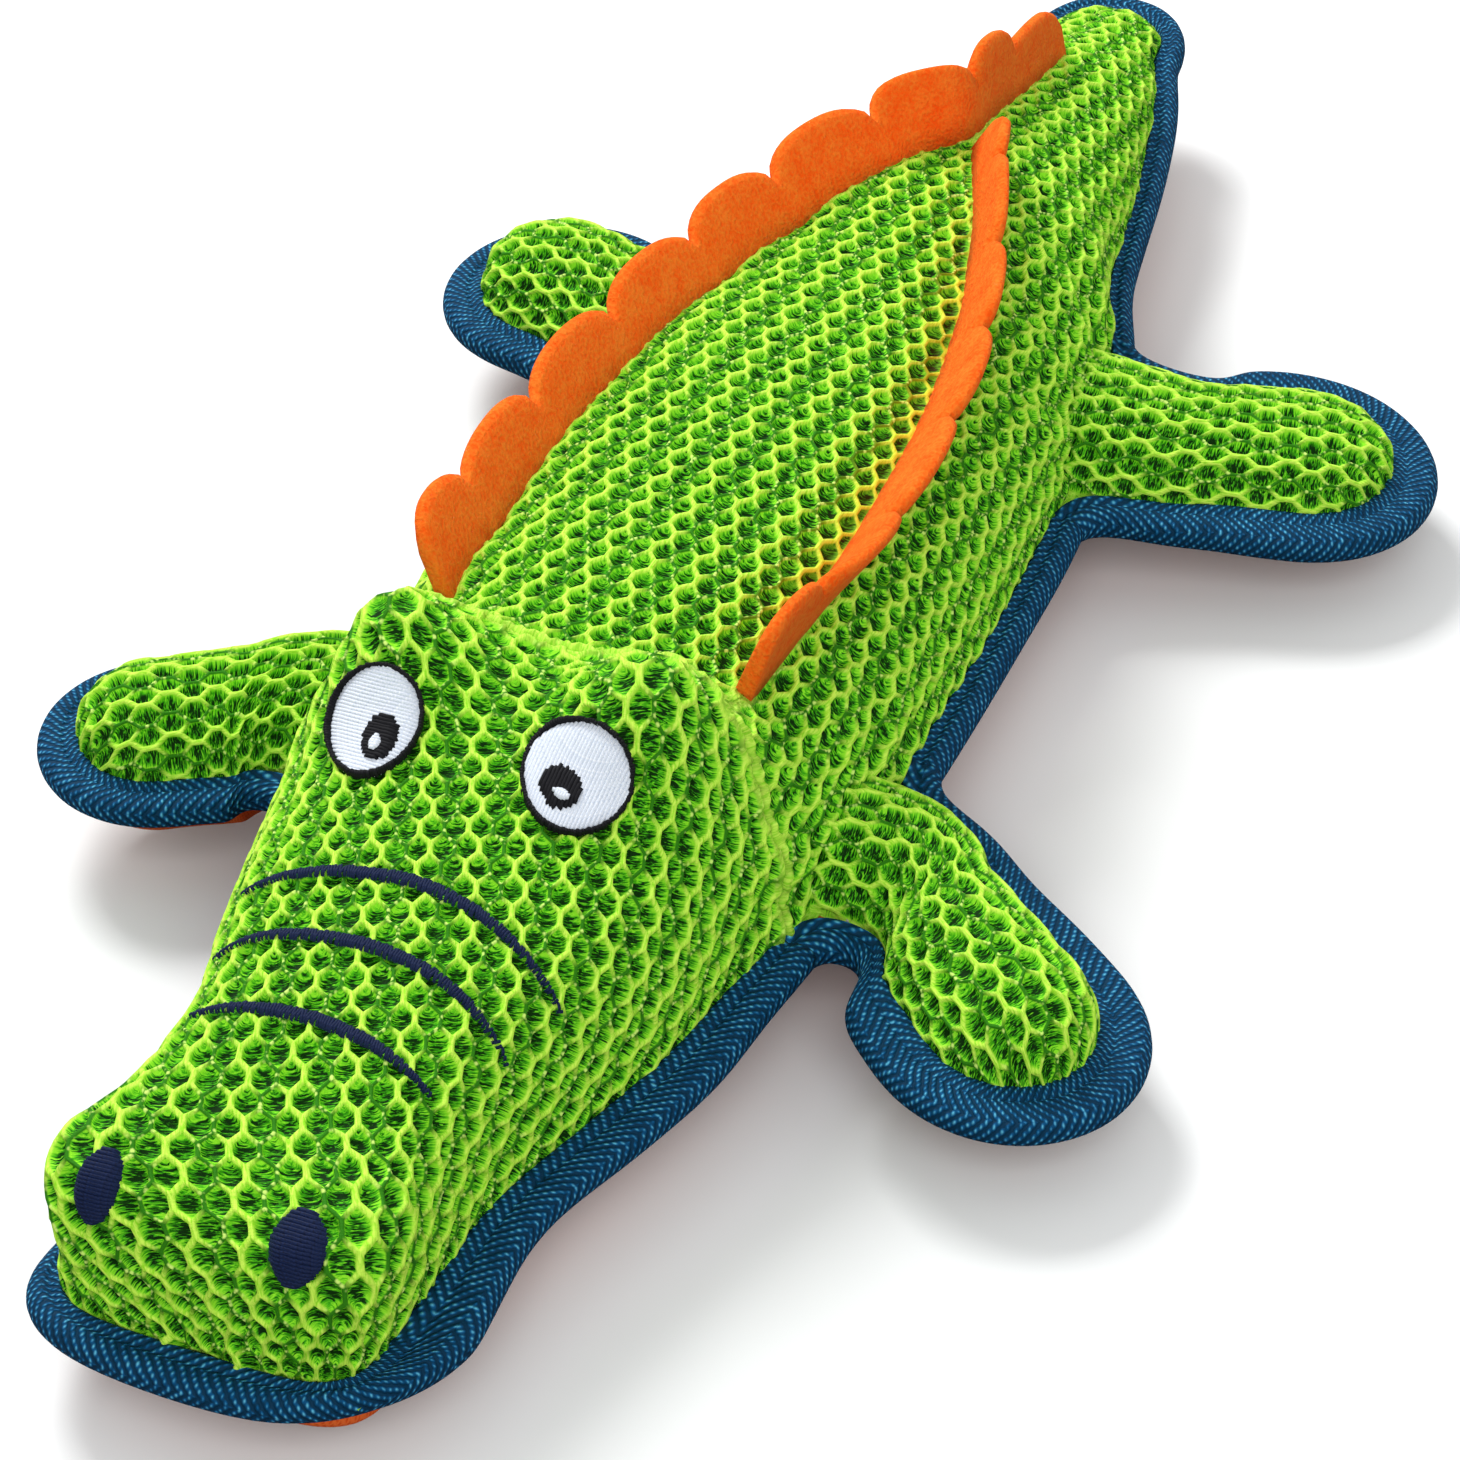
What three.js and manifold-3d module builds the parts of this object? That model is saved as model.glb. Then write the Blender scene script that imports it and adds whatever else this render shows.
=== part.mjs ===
// Stuffed alligator dog toy: air-mesh top, plain cloth belly, folded tape round the seam, felt ridges.
// Millimetres, +Z up, snout toward -Y, the toy's own left toward +X, belly on Z = 0.
import * as THREE from 'three';
import { mergeVertices } from 'three/addons/utils/BufferGeometryUtils.js';
import Module from 'manifold-3d';

const wasm = await Module();
wasm.setup();

// Fabric and fits
const MESH_THICK = 2.5; // spacer mesh of the top panels
const CLOTH_THICK = 1.0; // belly and sole cloth
const FLANGE_THICK = 1.1; // each layer where it is pressed flat inside the tape
const FELT_THICK = 3.0;
const TAPE_THICK = 1.1;
const THREAD_THICK = 0.8; // satin stitch
const STITCH_LIFT = 0.6; // of the stitching over the cloth between its points
const GAP = 0.3; // between any two pieces that touch
const FILL_GAP = 0.8; // between the stuffing and the cloth round it
const LIP = 1.4; // from the wall of a panel to the tape's inner edge
const TAPE_TUCK = 2.4; // from the tape's outer fold in to the edge of the cloth
const FLAT_CUT = 0.5; // depth of the flat where the belly rests

// Lengths that the whole toy is drawn from
const REACH = { snout: 194.5, tail: 192 }; // from the middle line to the tape's fold at each end
const HALF_WIDTH = 43; // of the body at its widest, to the seam
const TAPE_WIDTH = 10; // of the tape from the seam to its fold, about the snout
const HEIGHT = { seam: 18, back: 55.5 }; // over the floor
const BELLY = HEIGHT.seam + FLAT_CUT; // depth under the seam, before the flat is cut
const FELT_TALL = 15.5; // the highest lobe of a ridge
const BULGE = 1.6; // how far the sides swell out over the seam
const SNOUT_SWING = 1.6; // how far the tip of the snout is off to the right

// A place along the toy from its share of the reach: -1 at the snout's fold, 1 at the tail's
const along = (share) => share * (share < 0 ? REACH.snout : REACH.tail);

// Body stations from snout to tail: place, half-width at the seam, width of the tape beyond it
const PLAN = [
  [-0.8638, 0.5465, 0.98], [-0.7506, 0.5698, 0.75], [-0.653, 0.6977, 0.8], [-0.5656, 0.814, 0.8],
  [-0.4884, 0.8721, 0.7], [-0.401, 0.9302, 0.65], [-0.2057, 0.9884, 0.55], [0, 1, 0.5],
  [0.1979, 0.9535, 0.55], [0.4583, 0.7674, 0.5], [0.6146, 0.5814, 0.5], [0.7292, 0.4767, 0.53],
  [0.8333, 0.3605, 0.55], [0.8958, 0.2558, 0.45],
].map(([at, seam, tape]) => [along(at), seam * HALF_WIDTH, seam * HALF_WIDTH + tape * TAPE_WIDTH]);
// Place, height of the seam, of the back, depth of the belly, squareness of the section (2 is an ellipse)
const SIDE = [
  [-0.9769, 0.8333, 0.7928, 0.5946, 3.8], [-0.8638, 0.8611, 0.8288, 0.7027, 3.6],
  [-0.7712, 0.9167, 0.8919, 0.8649, 3.2], [-0.617, 0.9722, 0.955, 0.973, 2.7],
  [-0.4884, 1, 1.009, 1, 2.5], [-0.2931, 1, 1, 1, 2.2], [0, 1, 1, 1, 2.2], [0.2083, 1, 0.955, 1, 2.2],
  [0.4167, 1, 0.9099, 1, 2.2], [0.5469, 1.0278, 0.8559, 1, 2.2], [0.6771, 1.0833, 0.7568, 0.9189, 2.2],
  [0.7812, 1.1667, 0.6757, 0.8108, 2.2], [0.8958, 1.2778, 0.5766, 0.5946, 2.2],
  [1.0104, 1.3333, 0.5225, 0.3243, 2.2],
].map(([at, seam, back, belly, square]) => {
  const low = seam * HEIGHT.seam - belly * BELLY;
  return [along(at), seam * HEIGHT.seam, back * HEIGHT.back, low, square];
});

// Round ends: how far in from the fold are the seam, the end of the swelling and the shoulder
const SNOUT_ROUND = { seam: 10, face: 6.5, shoulder: 26.5, square: 0.5 };
const TAIL_ROUND = { seam: 8, face: 7, shoulder: 20, square: 0.75 };
const roundEnd = (way, reach, round) => ({
  fold: way * reach,
  seam: way * (reach - round.seam),
  face: way * (reach - round.face),
  shoulder: way * (reach - round.shoulder),
  square: round.square,
});
const SNOUT = roundEnd(-1, REACH.snout, SNOUT_ROUND);
const TAIL = roundEnd(1, REACH.tail, TAIL_ROUND);
// Where the head cover meets the flanks and the back
const HEAD_SEAM = { side: along(-0.4113), top: along(-0.365) };

// Mounds behind the eyes and at the nostrils: how far up, ahead and aside (left, right) they push
const EYE_MOUND = {
  x: 20, y: along(-0.4216), up: 16, ahead: 0, aside: [2, 2.5], across: 13, front: 12, back: 12,
};
const NOSE_MOUND = {
  x: 16, y: along(-0.9152), up: 2.5, ahead: 2.5, aside: [5.5, 8.5], across: 11, front: 14, back: 12,
};
const MOUNDS = [EYE_MOUND, NOSE_MOUND];

// Felt ridges: place, distance of the base from the middle of the back
const RIDGE_LINE = [
  [-0.2931, 0.6163], [-0.1388, 0.6512], [0, 0.6395], [0.1302, 0.5814], [0.2604, 0.4651],
  [0.3646, 0.3256], [0.4583, 0.1674], [0.5312, 0.0442],
].map(([at, out]) => [along(at), out * HALF_WIDTH]);
// Place of each notch, height of the felt there and height of the lobe behind it
const SCALLOPS = [
  [-0.2931, 0.0968, 0.8903], [-0.1954, 0.5548, 0.8194], [-0.0668, 0.4258, 0.8],
  [0.0729, 0.4129, 0.8065], [0.2031, 0.4323, 0.8452], [0.3177, 0.4516, 0.8903],
  [0.4427, 0.4774, 0.9419], [0.5417, 0.5419, 1], [0.6406, 0.6581, 0.8129], [0.776, 0.0968, 0],
].map(([at, notch, lobe]) => [along(at), notch * FELT_TALL, lobe * FELT_TALL]);
const FELT_ROOT = 1.6; // how far the felt goes down into the seam
const RIDGE_JOIN = along(0.5417); // the left ridge ends here, the right one goes on down the tail
// Place, outward lean in degrees
const LEFT_LEAN = [
  [-0.2931, 30], [-0.1799, 42], [0, 46], [0.1286, 42], [0.2314, 33], [0.3646, 18], [0.5417, 6],
].map(([at, lean]) => [along(at), lean]);
const RIGHT_LEAN = [
  [-0.2931, 27], [0.4271, 27], [0.5417, 6], [0.776, 3],
].map(([at, lean]) => [along(at), lean]);

// Legs: hinge line, sweep toward the tail, length from hinge to fold, droop and half-widths
const HINGE_X = HALF_WIDTH + 3.5;
const HINGE_Z = HEIGHT.seam - 0.5;
const FRONT_HINGE_Y = along(-0.2931);
const REAR_HINGE_Y = along(0.3229);
const ROOT_RADIUS = 12.5;
const ROOT_ROOM = 0.9; // between the root and the hollow it turns in
const SLOT_RADIUS = 7; // room round the hinge line for the leg's flat edges
const ROOT_FOLD = 5.5; // how far the tape stands out at a leg's root
const LEG_SOLE = 9.5; // depth of a sole under its seam
const FRONT_LEFT = { sweep: -38, length: 61.5, droop: 5, root: 13.5, pad: 13.7, top: 15.5, fold: 8.6 };
const FRONT_RIGHT = { sweep: -34, length: 49, droop: -1, root: 14, pad: 12.7, top: 13.5, fold: 6.8 };
const REAR_LEFT = { sweep: 20, length: 54.5, droop: 5, root: 17, pad: 16.5, top: 15, fold: 8.4 };
const REAR_RIGHT = { sweep: 14, length: 40.5, droop: 1, root: 17, pad: 15, top: 13.5, fold: 7.3 };
const LEGS = [
  { name: 'leg_front_left', side: 1, y: FRONT_HINGE_Y, ...FRONT_LEFT },
  { name: 'leg_front_right', side: -1, y: FRONT_HINGE_Y, ...FRONT_RIGHT },
  { name: 'leg_rear_left', side: 1, y: REAR_HINGE_Y, ...REAR_LEFT },
  { name: 'leg_rear_right', side: -1, y: REAR_HINGE_Y, ...REAR_RIGHT },
];

// Stitched eyes and nostrils, aimed at the cover from in front
const EYE = {
  x: 16.2, y: along(-0.5116), z: 59.5, wide: 14.6, tall: 17.2, ring: 1.3, pupil: [5.4, 6.6], glint: 1.9,
};
const NOSTRIL = { x: 15.8, y: along(-0.9614), z: 42.5, wide: 7.6, tall: 11.6 };
const WRINKLE_WIDE = 2.4; // of a stitched line at its middle
// Stitched lines over the snout: place at the middle and at the ends, half-length
const WRINKLES = [
  [-0.6298, -0.6555, 0.6163], [-0.6941, -0.7147, 0.5581], [-0.7609, -0.7738, 0.4419],
].map(([middle, ends, half]) => [along(middle), along(ends), half * HALF_WIDTH]);

// Squeaker bulb inside the body
const BULB = { radius: 19, tall: 17, wall: 1.2, y: -8, z: 12.5, neck: 4.4 };

const slab = (colour, roughness) => (
  new THREE.MeshStandardMaterial({ color: colour, roughness, metalness: 0 })
);
const airMesh = () => slab(0x6fc02a, 0.75);
const tapeWeave = () => slab(0x0d4769, 0.7);
const orangeFelt = () => slab(0xf2661a, 0.95);
const bellyCloth = () => slab(0xff6a2a, 0.8);
const fibreFill = () => slab(0xf2f1ec, 0.95);
const navyThread = () => slab(0x17305c, 0.6);
const blackThread = () => slab(0x1e1e22, 0.6);
const whiteThread = () => slab(0xe8eef8, 0.55);
const softPlastic = () => slab(0xe9e6dc, 0.45);

const group = new THREE.Group();
group.name = 'alligator_dog_toy';

const radians = THREE.MathUtils.degToRad;
const clamp = THREE.MathUtils.clamp;
const mix = THREE.MathUtils.lerp;
const smooth = THREE.MathUtils.smoothstep;
const V = (x, y, z) => new THREE.Vector3(x, y, z);

// A smooth curve through rows of [position, value, ...]; column says which value
function through(rows, column, at) {
  if (at <= rows[0][0]) return rows[0][column];
  const last = rows.length - 1;
  if (at >= rows[last][0]) return rows[last][column];
  const i = rows.findIndex((row) => row[0] > at) - 1;
  const slope = (k) => {
    const a = rows[Math.max(k - 1, 0)];
    const b = rows[Math.min(k + 1, last)];
    return (b[column] - a[column]) / (b[0] - a[0]);
  };
  const span = rows[i + 1][0] - rows[i][0];
  const t = (at - rows[i][0]) / span;
  const h0 = (1 + 2 * t) * (1 - t) * (1 - t);
  const h1 = t * (1 - t) * (1 - t);
  const h2 = t * t * (3 - 2 * t);
  const h3 = t * t * (t - 1);
  return h0 * rows[i][column] + h1 * span * slope(i) + h2 * rows[i + 1][column] + h3 * span * slope(i + 1);
}

// A closed solid between two grids of points, outer faces outward
function between(outer, inner) {
  const rows = outer.length;
  const columns = outer[0].length;
  const positions = [];
  const index = [];
  for (const grid of [outer, inner]) {
    for (const row of grid) {
      for (const p of row) positions.push(p.x, p.y, p.z);
    }
  }
  const at = (layer, i, j) => layer * rows * columns + i * columns + j;
  const quad = (a, b, c, d) => index.push(a, b, c, a, c, d);
  for (let i = 0; i < rows - 1; i += 1) {
    for (let j = 0; j < columns - 1; j += 1) {
      quad(at(0, i, j), at(0, i + 1, j), at(0, i + 1, j + 1), at(0, i, j + 1));
      quad(at(1, i, j), at(1, i, j + 1), at(1, i + 1, j + 1), at(1, i + 1, j));
    }
    quad(at(0, i, 0), at(1, i, 0), at(1, i + 1, 0), at(0, i + 1, 0));
    const e = columns - 1;
    quad(at(0, i, e), at(0, i + 1, e), at(1, i + 1, e), at(1, i, e));
  }
  for (let j = 0; j < columns - 1; j += 1) {
    quad(at(0, 0, j), at(0, 0, j + 1), at(1, 0, j + 1), at(1, 0, j));
    const e = rows - 1;
    quad(at(0, e, j), at(1, e, j), at(1, e, j + 1), at(0, e, j + 1));
  }
  return solidFrom(positions, index);
}

// A closed solid through rings of the same number of points, capped flat at both ends
function loft(rings) {
  const count = rings[0].length;
  const positions = [];
  const index = [];
  for (const ring of rings) {
    for (const p of ring) positions.push(p.x, p.y, p.z);
  }
  for (let i = 0; i < rings.length - 1; i += 1) {
    for (let j = 0; j < count; j += 1) {
      const k = (j + 1) % count;
      const a = i * count + j;
      const b = i * count + k;
      index.push(a, b, b + count, a, b + count, a + count);
    }
  }
  for (const [first, flip] of [[0, true], [(rings.length - 1) * count, false]]) {
    const middle = positions.length / 3;
    const centre = V(0, 0, 0);
    for (let j = 0; j < count; j += 1) {
      centre.add(V(...positions.slice(3 * (first + j), 3 * (first + j) + 3)));
    }
    centre.divideScalar(count);
    positions.push(centre.x, centre.y, centre.z);
    for (let j = 0; j < count; j += 1) {
      const k = (j + 1) % count;
      if (flip) index.push(first + k, first + j, middle);
      else index.push(first + j, first + k, middle);
    }
  }
  return solidFrom(positions, index);
}

function solidFrom(positions, index) {
  const geometry = new THREE.BufferGeometry();
  geometry.setAttribute('position', new THREE.Float32BufferAttribute(positions, 3));
  geometry.setIndex(index);
  return toManifold(geometry);
}

function toManifold(source) {
  const bare = source.clone();
  bare.deleteAttribute('normal');
  bare.deleteAttribute('uv');
  const geometry = mergeVertices(bare, 1e-4);
  let solid = new wasm.Manifold(new wasm.Mesh({
    numProp: 3,
    vertProperties: new Float32Array(geometry.attributes.position.array),
    triVerts: new Uint32Array(geometry.index.array),
  }));
  if (solid.volume() < 0) {
    const flipped = Array.from(geometry.index.array);
    for (let i = 0; i < flipped.length; i += 3) [flipped[i], flipped[i + 1]] = [flipped[i + 1], flipped[i]];
    solid = new wasm.Manifold(new wasm.Mesh({
      numProp: 3,
      vertProperties: new Float32Array(geometry.attributes.position.array),
      triVerts: new Uint32Array(flipped),
    }));
  }
  return solid;
}

function toGeometry(solid) {
  const mesh = solid.getMesh();
  const points = [];
  for (let i = 0; i < mesh.vertProperties.length; i += mesh.numProp) {
    points.push(mesh.vertProperties[i], mesh.vertProperties[i + 1], mesh.vertProperties[i + 2]);
  }
  const geometry = new THREE.BufferGeometry();
  geometry.setAttribute('position', new THREE.Float32BufferAttribute(points, 3));
  geometry.setIndex(Array.from(mesh.triVerts));
  return geometry;
}

function place(name, solid, material) {
  const geometry = toGeometry(solid);
  const creased = geometry.toNonIndexed();
  creased.computeVertexNormals();
  const mesh = new THREE.Mesh(creased, material);
  mesh.name = name;
  group.add(mesh);
  return mesh;
}

// Body section rows. ys is y at the seam, ym at the middle of the back, up and down the heights there
function bodyRow(ys, ym, c, flat, fill = 1) {
  const yMid = clamp((ys + ym) / 2, SIDE[0][0], SIDE[SIDE.length - 1][0]);
  const seam = through(SIDE, 1, yMid);
  return {
    ys, ym, c, seam,
    flat: V(flat[0], flat[1], 0),
    up: (through(SIDE, 2, yMid) - seam) * fill,
    down: (seam - through(SIDE, 3, yMid)) * fill,
    curve: 2 / through(SIDE, 4, yMid),
  };
}

// Rows round a blunt end, from the seam in front up over the swelling to the shoulder
function endRows(end, steps) {
  const rows = [];
  const c = through(PLAN, 1, end.shoulder);
  const w = through(PLAN, 2, end.shoulder);
  for (let i = 0; i < steps; i += 1) {
    const turn = radians(i === 0 ? 1 : (90 * i) / steps);
    const seamShare = Math.pow(Math.sin(turn), 0.62);
    const back = 1 - Math.pow(Math.cos(turn), 0.62);
    const ys = mix(end.seam, end.shoulder, back);
    const rise = Math.pow(1 - Math.cos(turn), 0.7 / end.square);
    const ym = i === 0 ? end.seam : mix(end.face, end.shoulder, rise);
    const tucked = end.fold - Math.sign(end.fold) * TAPE_TUCK;
    const flat = [(w - TAPE_TUCK) * seamShare, mix(end.shoulder, tucked, 1 - back)];
    rows.push(bodyRow(ys, ym, c * seamShare, flat, i === 0 ? 0.05 : Math.sin(turn) ** end.square));
  }
  return rows;
}

function straightRows(from, to, count) {
  const rows = [];
  for (let i = 0; i <= count; i += 1) {
    const y = mix(from, to, i / count);
    // Rows lean with the curved head seam near it and stand straight away from it
    const near = Math.exp(-(((y - HEAD_SEAM.side) / 24) ** 2));
    const lean = (HEAD_SEAM.top - HEAD_SEAM.side) * near;
    rows.push(bodyRow(y, y + lean, through(PLAN, 1, y), [through(PLAN, 2, y) - TAPE_TUCK, y]));
  }
  return rows;
}

const LEG_CURVE = 0.9;
const arcX = (e, curve = LEG_CURVE) => Math.pow(Math.abs(Math.cos(e)), curve) * (Math.cos(e) < 0 ? -1 : 1);
const arcZ = (e, curve = LEG_CURVE) => Math.pow(Math.abs(Math.sin(e)), curve);

function moundAt(x, y) {
  const push = V(0, 0, 0);
  for (const m of MOUNDS) {
    for (const [i, side] of [1, -1].entries()) {
      const across = (x - side * m.x) / m.across;
      const along = (y - m.y) / (y < m.y ? m.front : m.back);
      const share = Math.exp(-(across * across) - along * along);
      push.addScaledVector(V(side * m.aside[i], -m.ahead, m.up), share);
    }
  }
  return push;
}

// A point of the top: e runs 0 to 180 degrees over the back from left to right
function topPoint(row, e) {
  const swell = BULGE * Math.sin(2 * Math.min(e, Math.PI - e)) * clamp(row.up / 30, 0, 1);
  const x = row.c * arcX(e, row.curve) + swell * Math.sign(Math.cos(e));
  const y = mix(row.ys, row.ym, Math.sin(e) ** 1.5);
  const push = moundAt(x, y).multiplyScalar(clamp(Math.sin(e) * 2, 0, 1) * clamp(row.up / 25, 0, 1));
  return V(x, y, row.seam + GAP / 2 + (row.up - GAP / 2) * arcZ(e, row.curve)).add(push);
}

// A point of the underside, e again from left to right
function underPoint(row, e) {
  const swell = BULGE * 0.6 * Math.sin(2 * Math.min(e, Math.PI - e));
  const x = row.c * arcX(e, row.curve) + swell * Math.sign(Math.cos(e));
  const y = mix(row.ys, row.ym, Math.sin(e) ** 1.5 * 0.6);
  const z = row.seam - GAP / 2 - (row.down - GAP / 2) * arcZ(e, row.curve) ** 0.8;
  return V(x, y, z);
}

const mirrored = (list) => [...list, ...list.slice(0, -1).reverse().map((e) => Math.PI - e)];
const END_SHARE = 0.45; // of a panel's thickness where it runs into the seam at an end
const UNDER_ANGLES = mirrored([0, 16, 36, 60, 90].map(radians));

// The same grid moved under its surface; level is the height its edges keep to,
// way is 1 for a grid over that height and -1 for one under it
function sunk(grid, depth, way, level, facing = 1) {
  const rows = grid.length - 1;
  const share = (i) => (i === rows || (i === 0 && facing > 0) ? END_SHARE : 1);
  return grid.map((line, i) => line.map((p, j) => {
    const along = grid[Math.min(i + 1, rows)][j].clone().sub(grid[Math.max(i - 1, 0)][j]);
    const across = line[Math.min(j + 1, line.length - 1)].clone().sub(line[Math.max(j - 1, 0)]);
    const normal = along.cross(across).normalize();
    const moved = p.clone().addScaledVector(normal, -way * facing * depth * share(i));
    const edge = level(i) + (way * GAP) / 2;
    return moved.setZ(way > 0 ? Math.max(moved.z, edge) : Math.min(moved.z, edge));
  }));
}

// Adds the flat edges of the cloth, out to near the tape's fold
function flanged(grid, rows, edges, z) {
  return grid.map((line, i) => {
    const flat = (side) => V(side * rows[i].flat.x, rows[i].flat.y, rows[i].seam + z);
    return [...(edges[0] ? [flat(1)] : []), ...line, ...(edges[1] ? [flat(-1)] : [])];
  });
}

const END_STEPS = 4;
const snoutRows = endRows(SNOUT, END_STEPS);
const headRows = straightRows(SNOUT.shoulder, HEAD_SEAM.side, 7);
const torsoRows = straightRows(HEAD_SEAM.side, TAIL.shoulder, 13);
const tailRows = endRows(TAIL, END_STEPS).reverse();
const everyRow = [...snoutRows, ...headRows, ...torsoRows.slice(1), ...tailRows];

// The flat edge beyond the first or last row, from x to x
function endFlange(grid, row, end, z, from, to) {
  const last = grid[0].length - 1;
  const line = grid[0].map((p, j) => V(row.flat.x * mix(from, to, j / last), row.flat.y, row.seam + z));
  return end.fold < 0 ? [line, ...grid] : [...grid, line];
}

const topFlange = GAP / 2 + FLANGE_THICK;
const underFlange = -GAP / 2 - FLANGE_THICK;

// Leg root: a half section turned round the hinge line
function rootBarrel(leg, grow) {
  const outline = [];
  const steps = 6;
  for (let i = 0; i <= steps; i += 1) {
    const a = Math.PI * (i / steps);
    const radius = (ROOT_RADIUS + grow) * arcZ(a);
    outline.push(new THREE.Vector2(Math.max(radius, 0), -(leg.root + grow) * arcX(a)));
  }
  outline[0].x = 0;
  outline[steps].x = 0;
  const turned = new THREE.LatheGeometry(outline, 20);
  turned.translate(leg.side * HINGE_X, leg.y, HINGE_Z);
  return toManifold(turned);
}

// Room round a leg for its whole swing: the root barrel and a slot where its flat edge and tape move
function legRoom(leg) {
  const reach = leg.root + leg.fold + 1.2;
  const slot = new THREE.CylinderGeometry(SLOT_RADIUS, SLOT_RADIUS, 2 * reach, 14);
  slot.translate(leg.side * (HINGE_X + 1.5), leg.y, HINGE_Z);
  return rootBarrel(leg, ROOT_ROOM).add(toManifold(slot));
}

const legRooms = LEGS.map(legRoom);
const clearOfLegs = (solid) => legRooms.reduce((rest, room) => rest.subtract(room), solid);

// The angle over the back where a row's outside is x from the middle
function angleAt(row, x) {
  let low = radians(15);
  let high = Math.PI / 2;
  for (let i = 0; i < 30; i += 1) {
    const e = (low + high) / 2;
    if (topPoint(row, e).x > x) low = e;
    else high = e;
  }
  return (low + high) / 2;
}

const ridgeHalfGap = FELT_THICK / 2 + GAP;

// Angles of a row where the left flank ends and the back panel starts, either side of the felt
function ridgeEdges(row) {
  const line = through(RIDGE_LINE, 1, Math.max(row.ym, SCALLOPS[0][0]));
  if (row.ym < RIDGE_JOIN) {
    const half = row.ym < SCALLOPS[0][0] ? 2 * GAP : ridgeHalfGap;
    return [angleAt(row, line + half), angleAt(row, Math.max(line - half, GAP))];
  }
  const middle = row.ym > SCALLOPS[SCALLOPS.length - 1][0] ? GAP / 2 : ridgeHalfGap;
  return [angleAt(row, middle), angleAt(row, middle * 0.8)];
}

const FLANK_STEPS = [0, 0.22, 0.48, 0.74, 1];
const flankAngles = (row) => FLANK_STEPS.map((t) => ridgeEdges(row)[0] * t);

function backAngles(row) {
  const from = ridgeEdges(row)[1];
  return mirrored([0, 0.5, 1].map((t) => mix(from, Math.PI / 2, t)));
}

const otherFlank = (row) => flankAngles(row).map((e) => Math.PI - e).reverse();
const overAngles = (row) => [...flankAngles(row), ...backAngles(row), ...otherFlank(row)];

// The whole outside over and under the seam, and the same moved in,
// from which each panel takes its rows and columns
const overShell = everyRow.map((row) => overAngles(row).map((e) => topPoint(row, e)));
const underShell = everyRow.map((row) => UNDER_ANGLES.map((e) => underPoint(row, e)));
const seamAt = (i) => everyRow[i].seam;
const overInside = sunk(overShell, MESH_THICK, 1, seamAt);
const underInside = sunk(underShell, CLOTH_THICK, -1, seamAt);
const headEnd = snoutRows.length + headRows.length;
const flankCount = FLANK_STEPS.length;
const backCount = backAngles(headRows[0]).length;

function take(grid, rows, columns, shift = 0) {
  return grid.slice(...rows).map((line) => line.slice(...columns).map((p) => V(p.x, p.y + shift, p.z)));
}

const ridgeRooms = [1, -1].map((side) => ridge(side, GAP + 0.1));
const clearOfRidges = (solid) => ridgeRooms.reduce((rest, room) => rest.subtract(room), solid);

function headCover() {
  const rows = everyRow.slice(0, headEnd);
  const part = (grid, z) => {
    const flat = flanged(take(grid, [0, headEnd], [0], -GAP / 2), rows, [true, true], z);
    return endFlange(flat, rows[0], SNOUT, z, 1, -1);
  };
  return clearOfLegs(between(part(overShell, topFlange), part(overInside, GAP / 2)));
}

function backPanel() {
  const end = everyRow.findIndex((row) => row.ym > RIDGE_JOIN);
  const columns = [flankCount, flankCount + backCount];
  const part = (grid) => take(grid, [headEnd - 1, end], columns, GAP / 2);
  return clearOfRidges(between(part(overShell), part(overInside)));
}

function flankPanel(side) {
  const rows = everyRow.slice(headEnd - 1);
  const columns = side > 0 ? [0, flankCount] : [flankCount + backCount];
  const part = (grid, z) => {
    const flat = flanged(take(grid, [headEnd - 1], columns, GAP / 2), rows, [side > 0, side < 0], z);
    const middle = (side * GAP) / 2 / rows[rows.length - 1].flat.x;
    return endFlange(flat, rows[rows.length - 1], TAIL, z, side > 0 ? 1 : middle, side > 0 ? middle : -1);
  };
  const whole = clearOfRidges(clearOfLegs(between(part(overShell, topFlange), part(overInside, GAP / 2))));
  const past = HALF_WIDTH;
  const other = new THREE.BoxGeometry(past, TAIL.fold, 2 * HEIGHT.back);
  other.translate((side * (GAP - past)) / 2, RIDGE_JOIN + TAIL.fold / 2, HEIGHT.back / 2);
  return whole.subtract(toManifold(other));
}

function bellyPanel() {
  const part = (grid, z) => {
    const flat = flanged(grid, everyRow, [true, true], z);
    const front = endFlange(flat, everyRow[0], SNOUT, z, 1, -1);
    return endFlange(front, everyRow[everyRow.length - 1], TAIL, z, 1, -1);
  };
  const floor = new THREE.BoxGeometry(4 * HINGE_X, 4 * TAIL.fold, 10);
  floor.translate(0, 0, -5);
  const panel = between(part(underInside, -GAP / 2), part(underShell, underFlange));
  return clearOfLegs(panel).subtract(toManifold(floor));
}

function bodyFill() {
  const over = sunk(overInside, FILL_GAP, 1, seamAt);
  const under = sunk(underInside, FILL_GAP, -1, seamAt);
  const rings = over.map((line, i) => [...line, ...under[i].slice().reverse()]);
  return loft(rings.slice(2, -1));
}

// A folded tape: a U round the flat cloth edges, swept along stations of seam point, outward and height
function foldedTape(stations) {
  const rings = stations.map(({ inner, outer, z }) => {
    const out = outer.clone().sub(inner);
    const width = out.length();
    out.normalize();
    const slot = FLANGE_THICK + 1.5 * GAP;
    const half = slot + TAPE_THICK;
    const deep = width - TAPE_TUCK + GAP;
    const profile = [
      [0, slot], [0, half], [width - 1.6, half], [width - 0.3, half * 0.55],
      [width - 0.3, -half * 0.55], [width - 1.6, -half], [0, -half], [0, -slot],
      [deep, -slot], [deep, slot],
    ];
    return profile.map(([a, b]) => inner.clone().addScaledVector(out, a).setZ(z + b));
  });
  return ringsToSolid(rings);
}

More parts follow.
